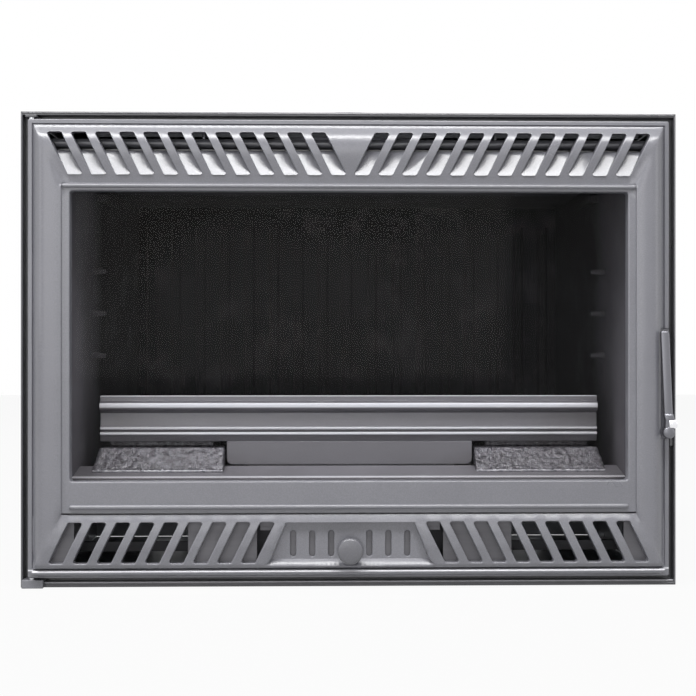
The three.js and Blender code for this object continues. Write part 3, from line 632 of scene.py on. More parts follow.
def softened(node: str, name: str, width_mm: float) -> Piece:
    """Copies a CAD node's mesh and rounds its edges as a casting or a folded sheet has them.

    Args:
        node: The CAD node.
        name: The new piece's name.
        width_mm: How far the rounding reaches from each edge.

    Returns:
        The new object, at the origin.
    """
    crease, flat = math.radians(30.0), math.radians(0.6)
    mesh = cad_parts[node].data.copy()
    mesh.name = name
    form = bmesh.new()
    form.from_mesh(mesh)
    bmesh.ops.remove_doubles(form, verts=form.verts, dist=1e-6)
    bmesh.ops.dissolve_limit(form, angle_limit=flat, verts=form.verts, edges=form.edges)
    form.normal_update()
    sharp = [e for e in form.edges if len(e.link_faces) == 2 and e.calc_face_angle(0.0) > crease]
    bmesh.ops.bevel(form, geom=sharp, offset=width_mm * MM, offset_type="OFFSET", segments=2,
                    profile=0.5, affect="EDGES", clamp_overlap=True)
    form.to_mesh(mesh)
    form.free()
    made = shaded(mesh, name, 50.0)
    made.modifiers.new("face-weighted shading", "WEIGHTED_NORMAL").keep_sharp = True
    return made


def carry(body: Body, slot: Slot, finish: Finish, round_mm: float, *nodes: str) -> None:
    """Dresses CAD nodes whose own shapes are right and only need rounded edges and a finish.

    Args:
        body: The body that they ride on.
        slot: The record's material slot.
        finish: Their finish.
        round_mm: The width of their rounded edges.
        nodes: The CAD nodes.
    """
    for node in nodes:
        finish_piece(softened(node, f"{node}_piece", round_mm), finish, body, slot, node)


class Draft:
    """The points and faces of one piece while it is made."""

    def __init__(self) -> None:
        """Starts with nothing."""
        self.points: list[Point] = []
        self.faces: list[Face] = []

    def add(self, points: Iterable[Point], faces: Iterable[Face]) -> None:
        """Adds a patch.

        Args:
            points: Its points.
            faces: Its faces, which number its own points.
        """
        start = len(self.points)
        self.points.extend(points)
        self.faces.extend(tuple(start + i for i in face) for face in faces)

    def strip(self, first: Sequence[Point], second: Sequence[Point]) -> None:
        """Joins two closed rings by four-sided faces.

        Args:
            first: One ring.
            second: The other, with as many points.
        """
        count = len(first)
        self.add([*first, *second],
                 [(i, (i + 1) % count, count + (i + 1) % count, count + i) for i in range(count)])

    def rings(self, rings: Sequence[Sequence[Point]], around: bool = False) -> None:
        """Joins closed rings one after the other.

        Args:
            rings: The rings.
            around: Whether the last joins the first.
        """
        for first, second in zip(rings, [*rings[1:], rings[0]] if around else rings[1:]):
            self.strip(first, second)

    def cap(self, ring: Sequence[Point]) -> None:
        """Closes a ring with one face."""
        self.add(ring, [tuple(range(len(ring)))])

    def tube(self, rings: Sequence[Sequence[Point]]) -> "Draft":
        """Joins closed rings and closes both ends.

        Args:
            rings: The rings, from one end to the other.

        Returns:
            This draft.
        """
        self.rings(rings)
        self.cap(rings[0])
        self.cap(rings[-1])
        return self

    def mesh(self, name: str, crease_deg: float = 38.0) -> Piece:
        """Makes the object, in metres in the shared frame, with its doubles merged.

        Args:
            name: The piece's name.
            crease_deg: Edges that turn more than this stay sharp.

        Returns:
            The new object, at the origin.
        """
        mesh = bpy.data.meshes.new(name)
        mesh.from_pydata([in_frame(point) for point in self.points], [], self.faces)
        form = bmesh.new()
        form.from_mesh(mesh)
        bmesh.ops.remove_doubles(form, verts=form.verts, dist=2e-6)
        bmesh.ops.dissolve_degenerate(form, edges=form.edges, dist=1e-7)
        bmesh.ops.recalc_face_normals(form, faces=form.faces)
        form.to_mesh(mesh)
        form.free()
        return shaded(mesh, name, crease_deg)


def in_frame(point: Point) -> Point:
    """Returns a point's place in the shared frame, in metres."""
    return point[0] * MM, (point[1] + RIM_Y) * MM, point[2] * MM


def box_corners(half: float, low: float, high: float) -> list[Flat]:
    """Returns the corners of a rectangle centred on X, anticlockwise."""
    return [(-half, low), (half, low), (half, high), (-half, high)]


def even_cuts(pitch: float, levels: Sequence[float] = ()) -> Cuts:
    """Makes a rule that divides a run about every pitch, and where it crosses given heights.

    Args:
        pitch: The spacing, in mm.
        levels: The heights.

    Returns:
        The rule.
    """
    near, flat = 0.6, 1.0  # mm: a cut this near a height gives way to it; a flatter run has none

    def rule(start: Flat, end: Flat) -> list[float]:
        """Divides one run.

        Args:
            start: Where it starts.
            end: Where it ends.

        Returns:
            The shares at which it is divided, in order.
        """
        length = math.hypot(end[0] - start[0], end[1] - start[1])
        shares = {round(s, 6) for s in steps(0.0, 1.0, pitch / max(length, 1e-6))[1:-1]}
        rise = end[1] - start[1]
        if abs(rise) > flat:
            crossings = [(level - start[1]) / rise for level in levels]
            shares = {s for s in shares if all(abs(s - c) * abs(rise) > near for c in crossings)}
            shares |= {c for c in crossings if 0.0 < c < 1.0}
        return sorted(shares)

    return rule


def ring_of(
    corners: Sequence[Flat], radius: float, offset: float, cuts: Cuts, arc: int = 4
) -> list[Flat]:
    """Offsets a convex outline and rounds its corners; rings of one outline match point by point.

    Args:
        corners: The outline's corners, anticlockwise.
        radius: The corner radius at no offset.
        offset: How far outside the outline the ring lies.
        cuts: Gives the shares at which a straight run between two points is divided.
        arc: The steps of each corner.

    Returns:
        The ring's points.
    """
    runs = []
    for (ax, az), (bx, bz) in zip(corners, [*corners[1:], corners[0]]):
        length = math.hypot(bx - ax, bz - az)
        runs.append(((bx - ax) / length, (bz - az) / length))
    centres = []
    for (x, z), (ux, uz), (vx, vz) in zip(corners, [runs[-1], *runs], runs):
        # The sum of both inward normals, scaled so that the centre is one radius from each run.
        reach = radius / max(1e-9, 1 + ux * vx + uz * vz)
        centres.append((x - (uz + vz) * reach, z + (ux + vx) * reach))
    ring: list[Flat] = []
    for i, (x, z) in enumerate(centres):
        (ux, uz), (vx, vz) = runs[i - 1], runs[i]
        start, end = math.atan2(-ux, uz), math.atan2(-vx, vz)
        turn = (end - start) % (2 * math.pi)
        for k in range(arc + 1):
            angle = start + turn * k / arc
            ring.append((x + (radius + offset) * math.cos(angle),
                         z + (radius + offset) * math.sin(angle)))
        ahead = centres[(i + 1) % len(centres)]
        leave = (x + radius * vz, z - radius * vx)
        arrive = (ahead[0] + radius * vz, ahead[1] - radius * vx)
        for share in cuts(leave, arrive):
            ring.append((between(leave[0], arrive[0], share) + offset * vz,
                         between(leave[1], arrive[1], share) - offset * vx))
    return ring


class Outline:
    """A convex ring that tells quickly how far a place lies outside it."""

    REACH = 3.0  # beyond this, a place only counts as far off
    FAR = 1e3

    def __init__(self, ring: Sequence[Flat]) -> None:
        """Notes the ring's box and its sides.

        Args:
            ring: The ring's points, anticlockwise.
        """
        self.low = [min(part) - self.REACH for part in zip(*ring)]
        self.high = [max(part) + self.REACH for part in zip(*ring)]
        self.sides: list[tuple[float, float, float, float]] = []
        for (ax, az), (bx, bz) in zip(ring, [*ring[1:], ring[0]]):
            length = math.hypot(bx - ax, bz - az)
            if length > 1e-6:
                self.sides.append((ax, az, (bx - ax) / length, (bz - az) / length))

    def beyond(self, x: float, z: float) -> float:
        """Tells how far a place lies outside the ring.

        Args:
            x: The place across.
            z: Its height.

        Returns:
            The distance, or a negative number inside the ring.
        """
        if not (self.low[0] < x < self.high[0] and self.low[1] < z < self.high[1]):
            return self.FAR
        return max((x - ax) * uz - (z - az) * ux for ax, az, ux, uz in self.sides)


class Panel:
    """A face drawn as a height over x and z, triangulated between its outlines."""

    def __init__(self, depth: Callable[[float, float], float]) -> None:
        """Starts an empty panel.

        Args:
            depth: Gives a point's depth behind the rim, in mm.
        """
        self.depth = depth
        self.points: list[Point] = []
        self.edges: list[tuple[int, int]] = []
        self.holes: list[Outline] = []
        self.keep_out: list[tuple[Outline, float]] = []

    def line(
        self, places: Sequence[Flat], closed: bool = True, drop: float = 0.0
    ) -> list[Point]:
        """Adds a constrained line.

        Args:
            places: The line's points.
            closed: Whether the last point joins the first.
            drop: How far below the panel's own height the line lies.

        Returns:
            The line's points, with their depths.
        """
        start, count = len(self.points), len(places)
        made = [(x, self.depth(x, z) + drop, z) for x, z in places]
        self.points.extend(made)
        self.edges.extend((start + i, start + (i + 1) % count)
                          for i in range(count if closed else count - 1))
        return made

    def scatter(self, places: Iterable[Flat]) -> None:
        """Adds free points, except those in or beside a hole's rings.

        Args:
            places: The points.
        """
        for x, z in places:
            if not any(outline.beyond(x, z) < margin for outline, margin in self.keep_out):
                self.points.append((x, self.depth(x, z), z))

    def patch(self) -> tuple[list[Point], list[Face]]:
        """Triangulates the panel and leaves out what lies in its holes.

        Returns:
            The points and the faces.
        """
        flat = [Vector((x, z)) for x, _, z in self.points]
        places, _, faces, sources, _, _ = delaunay_2d_cdt(flat, self.edges, [], 0, 1e-5, True)
        points = []
        for (x, z), source in zip(places, sources):
            points.append(self.points[source[0]] if source else (x, self.depth(x, z), z))
        kept = []
        for face in faces:
            x, z = (sum(places[i][axis] for i in face) / len(face) for axis in (0, 1))
            if all(hole.beyond(x, z) > 0 for hole in self.holes):
                kept.append(tuple(face))
        return points, kept


# ---- Door --------------------------------------------------------------------------------


@dataclass(frozen=True)
class Section:
    """A border's section: distances from its outer edge and how far proud it stands there."""

    width: float
    course: tuple[Flat, ...]
    soften: float = 1.5  # its corners are averaged over this far to both sides

    def proud(self, inwards: float) -> float:
        """Returns how far proud the section stands this far in from its outer edge."""
        return self.softened(round(inwards, 2))

    @lru_cache(maxsize=None)
    def softened(self, inwards: float) -> float:
        """Returns the section with its corners averaged."""
        return sum(self.plain(inwards + k * self.soften / 3) for k in range(-3, 4)) / 7

    def plain(self, inwards: float) -> float:
        """Reads the section with its corners left sharp.

        Args:
            inwards: The distance from its outer edge.

        Returns:
            How far proud it stands.
        """
        before = self.course[0]
        for point in self.course:
            if inwards <= point[0]:
                if point[0] == before[0]:
                    return point[1]
                return between(before[1], point[1], (inwards - before[0]) / (point[0] - before[0]))
            before = point
        return before[1]


@dataclass(frozen=True)
class Bead:
    """A half-round moulding along X with round ends."""

    z: float
    proud: float
    radius: float
    half: float

    def height(self, x: float, z: float) -> float:
        """Returns the bead's own height at a place, or a very low number beside it."""
        off = math.hypot(max(0.0, abs(x) - (self.half - self.radius)), z - self.z)
        return self.proud + math.sqrt(self.radius**2 - off**2) if off < self.radius else -1e3

    def ring(self, share: float) -> list[Flat]:
        """Draws the outline at a share of the bead's radius from its middle line.

        Args:
            share: The share.

        Returns:
            The outline's points.
        """
        radius = self.radius * share
        half = self.half - self.radius + radius
        corners = box_corners(half, self.z - radius, self.z + radius)
        return ring_of(corners, radius * 0.98, 0.0, even_cuts(9.0), 3)


@dataclass(frozen=True)
class Grille:
    """A row of leaning slots on both sides of the middle."""

    count: int
    first: float
    pitch: float
    width: float
    low: float
    high: float
    lean: float
    bevel: float = 1.1
    corner: float = 2.0

    def outlines(self) -> list[list[Flat]]:
        """Draws the slots.

        Returns:
            Each slot's corners, anticlockwise.
        """
        found = []
        for side in (1, -1):
            for i in range(self.count):
                middle, half = self.first + i * self.pitch, self.width / 2
                foot, head = middle - self.lean / 2, middle + self.lean / 2
                slot = [(foot - half, self.low), (foot + half, self.low),
                        (head + half, self.high), (head - half, self.high)]
                found.append(slot if side > 0 else [(-x, z) for x, z in reversed(slot)])
        return found


@dataclass(frozen=True)
class AirPanel:
    """The sunk trapezoid with upright slots, round the knob."""

    top_half: float = 68.3
    top: float = 69.8
    inner_half: float = 84.0
    inner: float = 31.0
    outer_half: float = 90.0
    outer: float = 25.0
    floor: float = 5.0
    brim: float = 11.3
    slant: float = 1.07  # its sides' length for one unit of height
    wall: tuple[float, float, float] = (-0.5, 0.1, 0.7)  # its rim, its wall's head and foot
    rim_share: float = 0.08  # how much of its depth the rim takes
    slot_pitch: float = 20.2
    slot_width: float = 6.3
    slot_low: float = 33.2
    slot_high: float = 61.1
    stem_half: float = 13.4
    stem_z: float = 40.8
    stem_width: float = 6.8

    def inside(self, x: float, z: float) -> float:
        """Tells how far a place lies inside the outline, its open lower edge left out.

        Args:
            x: The place across.
            z: Its height.

        Returns:
            The distance, in mm.
        """
        if z > self.inner:
            share = (z - self.inner) / (self.top - self.inner)
            half = between(self.inner_half, self.top_half, share)
        else:
            share = (self.inner - z) / (self.inner - self.outer)
            half = between(self.inner_half, self.outer_half, share)
        return min((half - abs(x)) / self.slant, self.top - z)

    def sink(self, x: float, z: float, proud: float) -> float:
        """Cuts the recess into the door's face.

        Args:
            x: The place across.
            z: Its height.
            proud: The face's own height there.

        Returns:
            The height with the recess.
        """
        if z < self.outer or z > self.top + 2:
            return proud
        inside = self.inside(x, z)
        rim, head, foot = self.wall
        if inside < rim:
            return proud
        share = (self.rim_share * clamp((inside - rim) / (head - rim))
                 + (1 - self.rim_share) * clamp((inside - head) / (foot - head)))
        rise = clamp((self.inner - z) / (self.inner - self.outer))
        return min(proud, between(proud, between(self.floor, self.brim, rise), share))

    def lines(self) -> list[list[Flat]]:
        """Draws the creases: the recess's rim, its wall and the bend of its lower slope.

        Returns:
            The points of each crease.
        """
        right = [(self.outer_half, self.outer), (self.inner_half, self.inner),
                 (self.top_half, self.top)]
        course = [*right, *((-x, z) for x, z in reversed(right))]
        found = []
        for inwards in self.wall:
            found.append([(x - math.copysign(inwards * self.slant, x),
                           z - inwards if z == self.top else z) for x, z in course])
        half = self.inner_half - self.wall[2] - 0.05
        found.append([(x, self.inner) for x in steps(-half, half, 12.0)])
        return found

    def slots(self) -> list[list[Flat]]:
        """Draws the upright slots and the knob's slot.

        Returns:
            Each slot's corners, anticlockwise.
        """
        found = []
        for i in (-3, -2, -1, 1, 2, 3):
            corners = box_corners(self.slot_width / 2, self.slot_low, self.slot_high)
            found.append([(x + i * self.slot_pitch, z) for x, z in corners])
        half = self.stem_width / 2
        found.append(box_corners(self.stem_half, self.stem_z - half, self.stem_z + half))
        return found


@dataclass
class DoorCasting:
    """The shaped iron front of the door, from its rounded rim to its skirt."""

    half: float = 341.6
    low: float = 10.6
    high: float = 497.3
    corner: float = 2.2
    edge: float = 1.5
    step: float = 0.4  # a step in the face or the back is eased over this width
    slab_back: float = 6.0
    skirt_back: float = 14.0
    skirt: float = 5.0
    hollow_top: float = 76.5
    band_proud: float = 8.0
    outer_half: float = 334.8
    inner_half: float = 304.5
    border_top: float = 490.0
    border_top_inner: float = 429.2
    border_bottom: float = 21.2
    border_bottom_inner: float = 78.5
    groove_high: float = 80.1
    groove_proud: float = 0.8
    vee_in: float = 5.4
    vee_half: float = 0.95
    vee_deep: float = 1.6
    opening_half: float = 295.8
    opening_low: float = 113.5
    opening_high: float = 420.5
    mitre_blend: float = 0.07  # share of the border's width over which two sections meet
    notch_left: float = 330.9
    notch_low: float = 156.7
    notch_high: float = 276.0
    notch_floor: float = 2.0
    notch_chamfer: float = 0.8
    latch_left: float = 324.6  # the thick pad behind the latch
    latch_low: float = 149.6
    latch_high: float = 182.4
    hinge_edge: float = -331.0  # the pads round the hinge pins
    hinge_back: float = 12.0
    hinge_low: float = 38.0
    hinge_high: float = 470.0
    ramp_low: Flat = (-8.6, 437.5)  # depths and heights of the sloping floor of the top slots
    ramp_high: Flat = (3.9, 463.2)
    ramp_lip: Flat = (6.0, 464.7)
    top: Section = Section(60.8, ((0, 0), (5.5, 4.6), (10.5, 8.6), (15.5, 10.8), (21, 11.9),
                                  (27, 12), (33, 11.3), (60.8, 6.2)))
    bottom: Section = Section(57.3, ((-0.4, 0), (0, 8), (2.9, 11.2), (23.8, 13), (40.8, 12.2),
                                     (50.8, 10.4), (57.3, 6.5)), 0.9)
    side: Section = Section(30.3, ((0, 0), (3.5, 6.5), (7, 10.4), (12, 12), (23.5, 12.2),
                                   (30.3, 10.6)))
    beads: tuple[Bead, ...] = (
        Bead(425.6, 8.2, 2.3, 304.5), Bead(86.3, 8.0, 2.6, 296.5), Bead(17.2, 6.9, 2.6, 336.0))
    upper: Grille = Grille(12, 23.0, 25.3, 15.6, 437.5, 483.0, 23.0, 0.75)
    lower: Grille = Grille(9, 97.7, 25.27, 15.3, 27.4, 70.3, -21.1)
    panel: AirPanel = AirPanel()
    rope_half: float = 318.5
    rope_low: float = 91.0
    rope_high: float = 446.0
    rope_corner: float = 14.0
    # The rope's land, as distances outwards from the rope's middle line and depths.
    land: tuple[Flat, ...] = (
        (-8.1, 5.5), (-8.1, 12.6), (-7.7, 13), (-6.0, 13), (-5.6, 12.6), (-5.6, 9.4),
        (5.6, 9.4), (5.6, 12.6), (6.0, 13), (7.7, 13), (8.1, 12.6), (8.1, 5.5))
    boss_x: float = 180.0
    boss_heights: Flat = (102.3, 434.2)
    boss: tuple[Flat, ...] = ((3.4, 5.5), (3.2, 12.6), (2.8, 13.0), (2.1, 13.0), (2.1, 8.0))

    def rim_distance(self, x: float, z: float) -> float:
        """Tells how far a place lies inside the door's outline.

        Args:
            x: The place across.
            z: Its height.

        Returns:
            The distance, in mm.
        """
        across = abs(x) - (self.half - self.corner)
        middle = (self.low + self.high) / 2
        up = abs(z - middle) - ((self.high - self.low) / 2 - self.corner)
        outside = math.hypot(max(across, 0.0), max(up, 0.0)) + min(max(across, up), 0.0)
        return self.corner - outside

    def border(self, x: float, z: float) -> float:
        """Gives the height of the four borders at a place, blended at their mitres.

        Args:
            x: The place across.
            z: Its height.

        Returns:
            How far proud they stand.
        """
        side_in = self.outer_half - abs(x)
        level, level_in = self.bottom, z - self.border_bottom
        if z > (self.low + self.high) / 2:
            level, level_in = self.top, self.border_top - z
        lead = side_in / self.side.width - level_in / level.width
        share = clamp(0.5 + lead / (2 * self.mitre_blend))
        return between(self.side.proud(side_in), level.proud(level_in), share)

    def proud(self, x: float, z: float) -> float:
        """Gives the height of the door's whole face at a place.

        Args:
            x: The place across.
            z: Its height.

        Returns:
            How far the face stands out of the rim's plane.
        """
        height = self.border(x, z)
        within = min(self.inner_half - abs(x), self.border_top_inner - z)
        if within > 0:
            if z > self.border_bottom_inner:
                height = between(height, self.band_proud, clamp(within / self.step))
            groove = min(z - self.border_bottom_inner, self.groove_high - z) + self.step / 2
            share = clamp(min(groove, within) / self.step)
            height = between(height, self.groove_proud, share)
        for bead in self.beads:
            height = max(height, bead.height(x, z))
        vee = abs(min(self.half - abs(x), self.high - z) - self.vee_in)
        if z > self.border_bottom:
            height -= self.vee_deep * clamp(1 - vee / self.vee_half)
        height = self.panel.sink(x, z, height)
        rim = self.rim_distance(x, z)
        if rim < self.edge:
            left = self.edge - max(rim, 0.0)
            height -= self.edge - math.sqrt(max(0.0, self.edge**2 - left**2))
        inside = min(x - self.notch_left, z - self.notch_low, self.notch_high - z)
        if inside > 0:
            cut = self.notch_chamfer
            chamfered = height - cut * clamp(inside / cut)
            share = clamp((inside - cut) / self.step)
            height = min(height, between(chamfered, -self.notch_floor, share))
        return height

    def back_depth(self, x: float, z: float) -> float:
        """Gives the depth of the door's back at a place: its skirt, hollow and pads.

        Args:
            x: The place across.
            z: Its height.

        Returns:
            The depth behind the rim's plane.
        """
        depth = between(self.slab_back, 0.0, clamp((self.hollow_top - z) / self.step))
        skirt = clamp((self.skirt + self.step - self.rim_distance(x, z)) / self.step)
        depth = between(depth, self.skirt_back, skirt)
        latch = min(x - self.latch_left, z - self.latch_low, self.latch_high - z)
        depth = max(depth, between(depth, self.skirt_back, clamp(latch / self.step)))
        for up in (self.hinge_low - z, z - self.hinge_high):
            hinge = clamp(min(self.hinge_edge - x, up) / self.step)
            depth = max(depth, between(depth, self.hinge_back, hinge))
        return depth

    def outline(self, inwards: float, cuts: Cuts) -> list[Flat]:
        """Returns the door's outline, drawn in by this much."""
        corners = box_corners(self.half, self.low, self.high)
        return ring_of(corners, self.corner, -inwards, cuts)

    def ramp_depth(self, z: float) -> float:
        """Gives the depth of a top slot's sloping floor.

        Args:
            z: The height.

        Returns:
            The depth behind the rim's plane.
        """
        start, end = self.ramp_low, self.ramp_high
        if z > self.ramp_high[1]:
            start, end = self.ramp_high, self.ramp_lip
        return between(start[0], end[0], min(1.0, (z - start[1]) / (end[1] - start[1])))

    def pierce(self, face: Panel, corners: Sequence[Flat], radius: float, bevel: float,
               pitch: float = 4.0, levels: Sequence[float] = ()) -> list[Point]:
        """Cuts a hole with a rounded edge into the face.

        Args:
            face: The front panel.
            corners: The hole's corners, anticlockwise.
            radius: Its corner radius.
            bevel: The radius of its rounded edge.
            pitch: The spacing of points along its sides.
            levels: Heights at which its sides need a point.

        Returns:
            The edge's last ring, from which the hole's wall starts.
        """
        cuts = even_cuts(pitch, levels)
        face.line(ring_of(corners, radius, bevel + 0.7, cuts))
        for share in (1.0, 0.62, 0.29, 0.08):
            offset = bevel * share
            drop = bevel - math.sqrt(bevel**2 - (bevel - offset) ** 2)
            face.line(ring_of(corners, radius, offset, cuts), drop=drop)
        edge = face.line(ring_of(corners, radius, 0.0, cuts), drop=bevel)
        plain = Outline(ring_of(corners, radius, 0.0, even_cuts(1e3)))
        face.holes.append(plain)
        face.keep_out.append((plain, bevel + 1.6))
        return edge

    def samples(self) -> list[Flat]:
        """Spreads free points over the face: close where it curves, wide where it is flat.

        Returns:
            The points.
        """
        inwards = [-0.9, 0.5, 1.5, 3, 4.5, 6, 8, 10, 12.5, 15, 18.5, 22, 26, 30.5, 36, 42, 48,
                   53.5, 58]
        found = []
        for level, outer, sign in ((self.top, self.border_top, -1),
                                   (self.bottom, self.border_bottom, 1)):
            for into in inwards:
                limit = self.outer_half - self.side.width * into / level.width - 0.9
                found.extend((x, outer + sign * into) for x in steps(-limit, limit, 4.6))
        for into in [i for i in inwards if i < self.side.width + self.step]:
            x = self.outer_half - into
            share = into / self.side.width
            low = self.border_bottom + self.bottom.width * share + 1.2
            high = self.border_top - self.top.width * share - 1.2
            for z in steps(low, high, 5.5):
                found.extend([(x, z), (-x, z)])
        for z in steps(self.opening_low - 20, self.opening_high, 12.0):
            found.extend([(-300.2, z), (300.2, z)])
        for x in steps(-290, 290, 12.0):
            found.extend([(x, 94.0), (x, 105.0)])
        return found

    def edge_lines(self, face: Panel) -> list[Point]:
        """Draws the rim, the handle's notch and the vee groove.

        Args:
            face: The front panel.

        Returns:
            The outermost ring.
        """
        insets = (0.0, self.notch_chamfer, self.notch_chamfer + self.step)
        levels = [self.notch_low + d for d in insets] + [self.notch_high - d for d in insets]
        cuts = even_cuts(11.0, levels)
        outermost = face.line(self.outline(0.0, cuts))
        for inwards in (0.12, 0.45, 0.9, self.edge):
            face.line(self.outline(inwards, cuts))
        for into in insets:
            low, high, left = self.notch_low + into, self.notch_high - into, self.notch_left + into
            upright = [(left, z) for z in steps(low, high, 6.0)]
            face.line([(self.half, low), *upright, (self.half, high)], closed=False)
        for into in (self.vee_in - self.vee_half, self.vee_in, self.vee_in + self.vee_half):
            x, z = self.half - into, self.high - into
            left = [(-x, level) for level in steps(self.border_bottom + 0.5, z, 9.0)]
            across = [(level, z) for level in steps(-x, x, 9.0)[1:-1]]
            face.line([*left, *across, *((-a, b) for a, b in reversed(left))], closed=False)
        return outermost

    def border_lines(self, face: Panel) -> None:
        """Draws the mitres, the band's edges, the groove and the beads.

        Args:
            face: The front panel.
        """
        ends = ((self.border_top, self.border_top_inner),
                (self.border_bottom, self.border_bottom_inner))
        for outer, inner in ends:
            for side in (1, -1):
                face.line([(side * (self.outer_half - self.side.width * s),
                            between(outer, inner, s))
                           for s in (0.02, 0.06, 0.12, 0.2, 0.3, 0.42, 0.56, 0.7, 0.85, 1.0)],
                          closed=False)
        half, ease = self.inner_half, self.step / 2
        for inset in (0.0, self.step):
            corners = box_corners(half - inset, self.groove_high + ease - inset,
                                  self.border_top_inner - inset)
            face.line(ring_of(corners, 0.05, 0.0, even_cuts(9.0), 1))
        level_lines = [(self.border_bottom_inner + d, half, 9.0) for d in (-ease, ease)]
        level_lines += [(self.border_bottom + d, self.outer_half - 1, 6.0)
                        for d in (-self.bottom.soften, -0.1, self.bottom.soften)]
        for bead in self.beads:
            for share in (1.0, 0.92, 0.7, 0.38):
                face.line(bead.ring(share))
            level_lines.append((bead.z, bead.half - bead.radius, 9.0))
        for z, reach, pitch in level_lines:
            face.line([(x, z) for x in steps(-reach, reach, pitch)], closed=False)

    def face(self) -> tuple[Panel, list[list[Point]], list[list[Point]], list[Point]]:
        """Draws the front.

        Returns:
            The panel, the edge rings of the top slots, those of the other holes, and the
            outermost ring.
        """
        face = Panel(lambda x, z: -self.proud(x, z))
        outermost = self.edge_lines(face)
        self.border_lines(face)
        for line in self.panel.lines():
            face.line(line, closed=False)
        levels = (self.ramp_high[1], self.ramp_lip[1])
        upper = [self.pierce(face, slot, self.upper.corner, self.upper.bevel, levels=levels)
                 for slot in self.upper.outlines()]
        others = [self.pierce(face, slot, self.lower.corner, self.lower.bevel)
                  for slot in self.lower.outlines()]
        others += [self.pierce(face, slot, 3.05, 0.7) for slot in self.panel.slots()]
        opening = box_corners(self.opening_half, self.opening_low, self.opening_high)
        others.append(self.pierce(face, opening, 3.0, 1.3, 12.0))
        face.scatter(self.samples())
        return face, upper, others, outermost

    def back(self, loops: Sequence[Sequence[Point]], rim: Sequence[Point]) -> Panel:
        """Draws the back between the door's outline and the holes' back ends.

        Args:
            loops: The holes' back ends.
            rim: The outermost ring.

        Returns:
            The panel.
        """
        back = Panel(self.back_depth)
        back.line([(x, z) for x, _, z in rim])
        reach = self.half - self.skirt
        for ease in (0.0, self.step):
            inset = self.skirt + ease
            corners = box_corners(self.half - inset, self.low + inset, self.high - inset)
            back.line(ring_of(corners, 1.0, 0.0, even_cuts(40.0)))
            level = self.hollow_top - ease
            back.line([(x, level) for x in steps(-reach, reach, 40.0)], closed=False)
            left, low, high = self.latch_left + ease, self.latch_low + ease, self.latch_high - ease
            back.line([(reach, low), (left, low), (left, high), (reach, high)], closed=False)
            x = self.hinge_edge - ease
            for end, level in ((self.low + 0.5, self.hinge_low - ease),
                               (self.high - 0.5, self.hinge_high + ease)):
                back.line([(x, end), (x, level), (-self.half + 0.5, level)], closed=False)
        for loop in loops:
            ring = [(x, z) for x, _, z in loop]
            back.line(ring)
            back.holes.append(Outline(ring))
        return back

    def build(self) -> None:
        """Makes the casting: its face, the walls of its holes, its edge and its back."""
        draft = Draft()
        face, upper, others, outermost = self.face()
        draft.add(*face.patch())
        loops = []
        near = 1e-4
        split, lip = self.ramp_high[1] + near, self.ramp_lip[1] - near
        for edge in upper:
            floor = [(x, self.ramp_depth(z), z) for x, _, z in edge]
            draft.strip(edge, floor)
            draft.cap([p for p in floor if p[2] <= split])
            draft.cap([p for p in floor if split - 2 * near <= p[2] <= lip + 2 * near])
            loops.append([p for p in floor if p[2] >= lip])
        for edge in others:
            wall = [(x, self.back_depth(x, z), z) for x, _, z in edge]
            draft.strip(edge, wall)
            loops.append(wall)
        draft.strip(outermost, [(x, self.skirt_back, z) for x, _, z in outermost])
        draft.add(*self.back(loops, outermost).patch())
        self.channel(draft)
        made = draft.mesh("door_casting", 42.0)
        finish_piece(made, DOOR_PAINT, Body.DOOR, Slot.PAINTED, "door_frame")

    def channel(self, draft: Draft) -> None:
        """Adds the ribbed land of the rope gasket and the four screw bosses to the back.

        Args:
            draft: The casting's points and faces.
        """
        corners = box_corners(self.rope_half, self.rope_low, self.rope_high)
        draft.rings([[(x, depth, z) for x, z in
                      ring_of(corners, self.rope_corner, offset, even_cuts(40.0), 8)]
                     for offset, depth in self.land], around=True)
        for x in (-self.boss_x, self.boss_x):
            for z in self.boss_heights:
                draft.tube(turning(self.boss, (x, 0.0, z), 16))


def node_group(name: str, sizes: dict[str, str]) -> tuple[Tree, Node]:
    """Starts a Geometry Nodes tree with a geometry input, an output and named inputs.

    Args:
        name: The tree's name.
        sizes: The socket type of each named input.

    Returns:
        The new tree and its input node.
    """
    tree = bpy.data.node_groups.new(name, "GeometryNodeTree")
    for way in ("INPUT", "OUTPUT"):
        tree.interface.new_socket("Geometry", in_out=way, socket_type="NodeSocketGeometry")
    for label, kind in sizes.items():
        tree.interface.new_socket(label, in_out="INPUT", socket_type=kind)
    return tree, add_node(tree, "NodeGroupInput")


def close_group(tree: Tree, geometry: Node, finish: Finish) -> None:
    """Ends a tree: realizes its instances, sets the material and joins the output.

    Args:
        tree: The tree.
        geometry: The node that gives the geometry.
        finish: The finish.
    """
    real = add_node(tree, "GeometryNodeRealizeInstances", {"Geometry": geometry})
    dressed = add_node(tree, "GeometryNodeSetMaterial",
                       {"Geometry": real, "Material": finish.material()})
    add_node(tree, "NodeGroupOutput", {"Geometry": dressed})


def grown(source: Piece, tree: Tree, name: str, sizes: dict[str, float]) -> Piece:
    """Runs a tree on an object and makes the result a plain mesh object.

    Args:
        source: The object that the tree starts from; it is removed.
        tree: The Geometry Nodes tree.
        name: The new piece's name.
        sizes: Values for the tree's named inputs.

    Returns:
        The new object, at the origin.
    """
    modifier = source.modifiers.new(name, "NODES")
    modifier.node_group = tree
    for item in tree.interface.items_tree:
        if item.item_type == "SOCKET" and item.in_out == "INPUT" and item.name in sizes:
            modifier[item.identifier] = sizes[item.name]
    source.update_tag()
    bpy.context.view_layer.update()
    mesh = settled(source)
    mesh.name = name
    return in_scene(name, mesh)


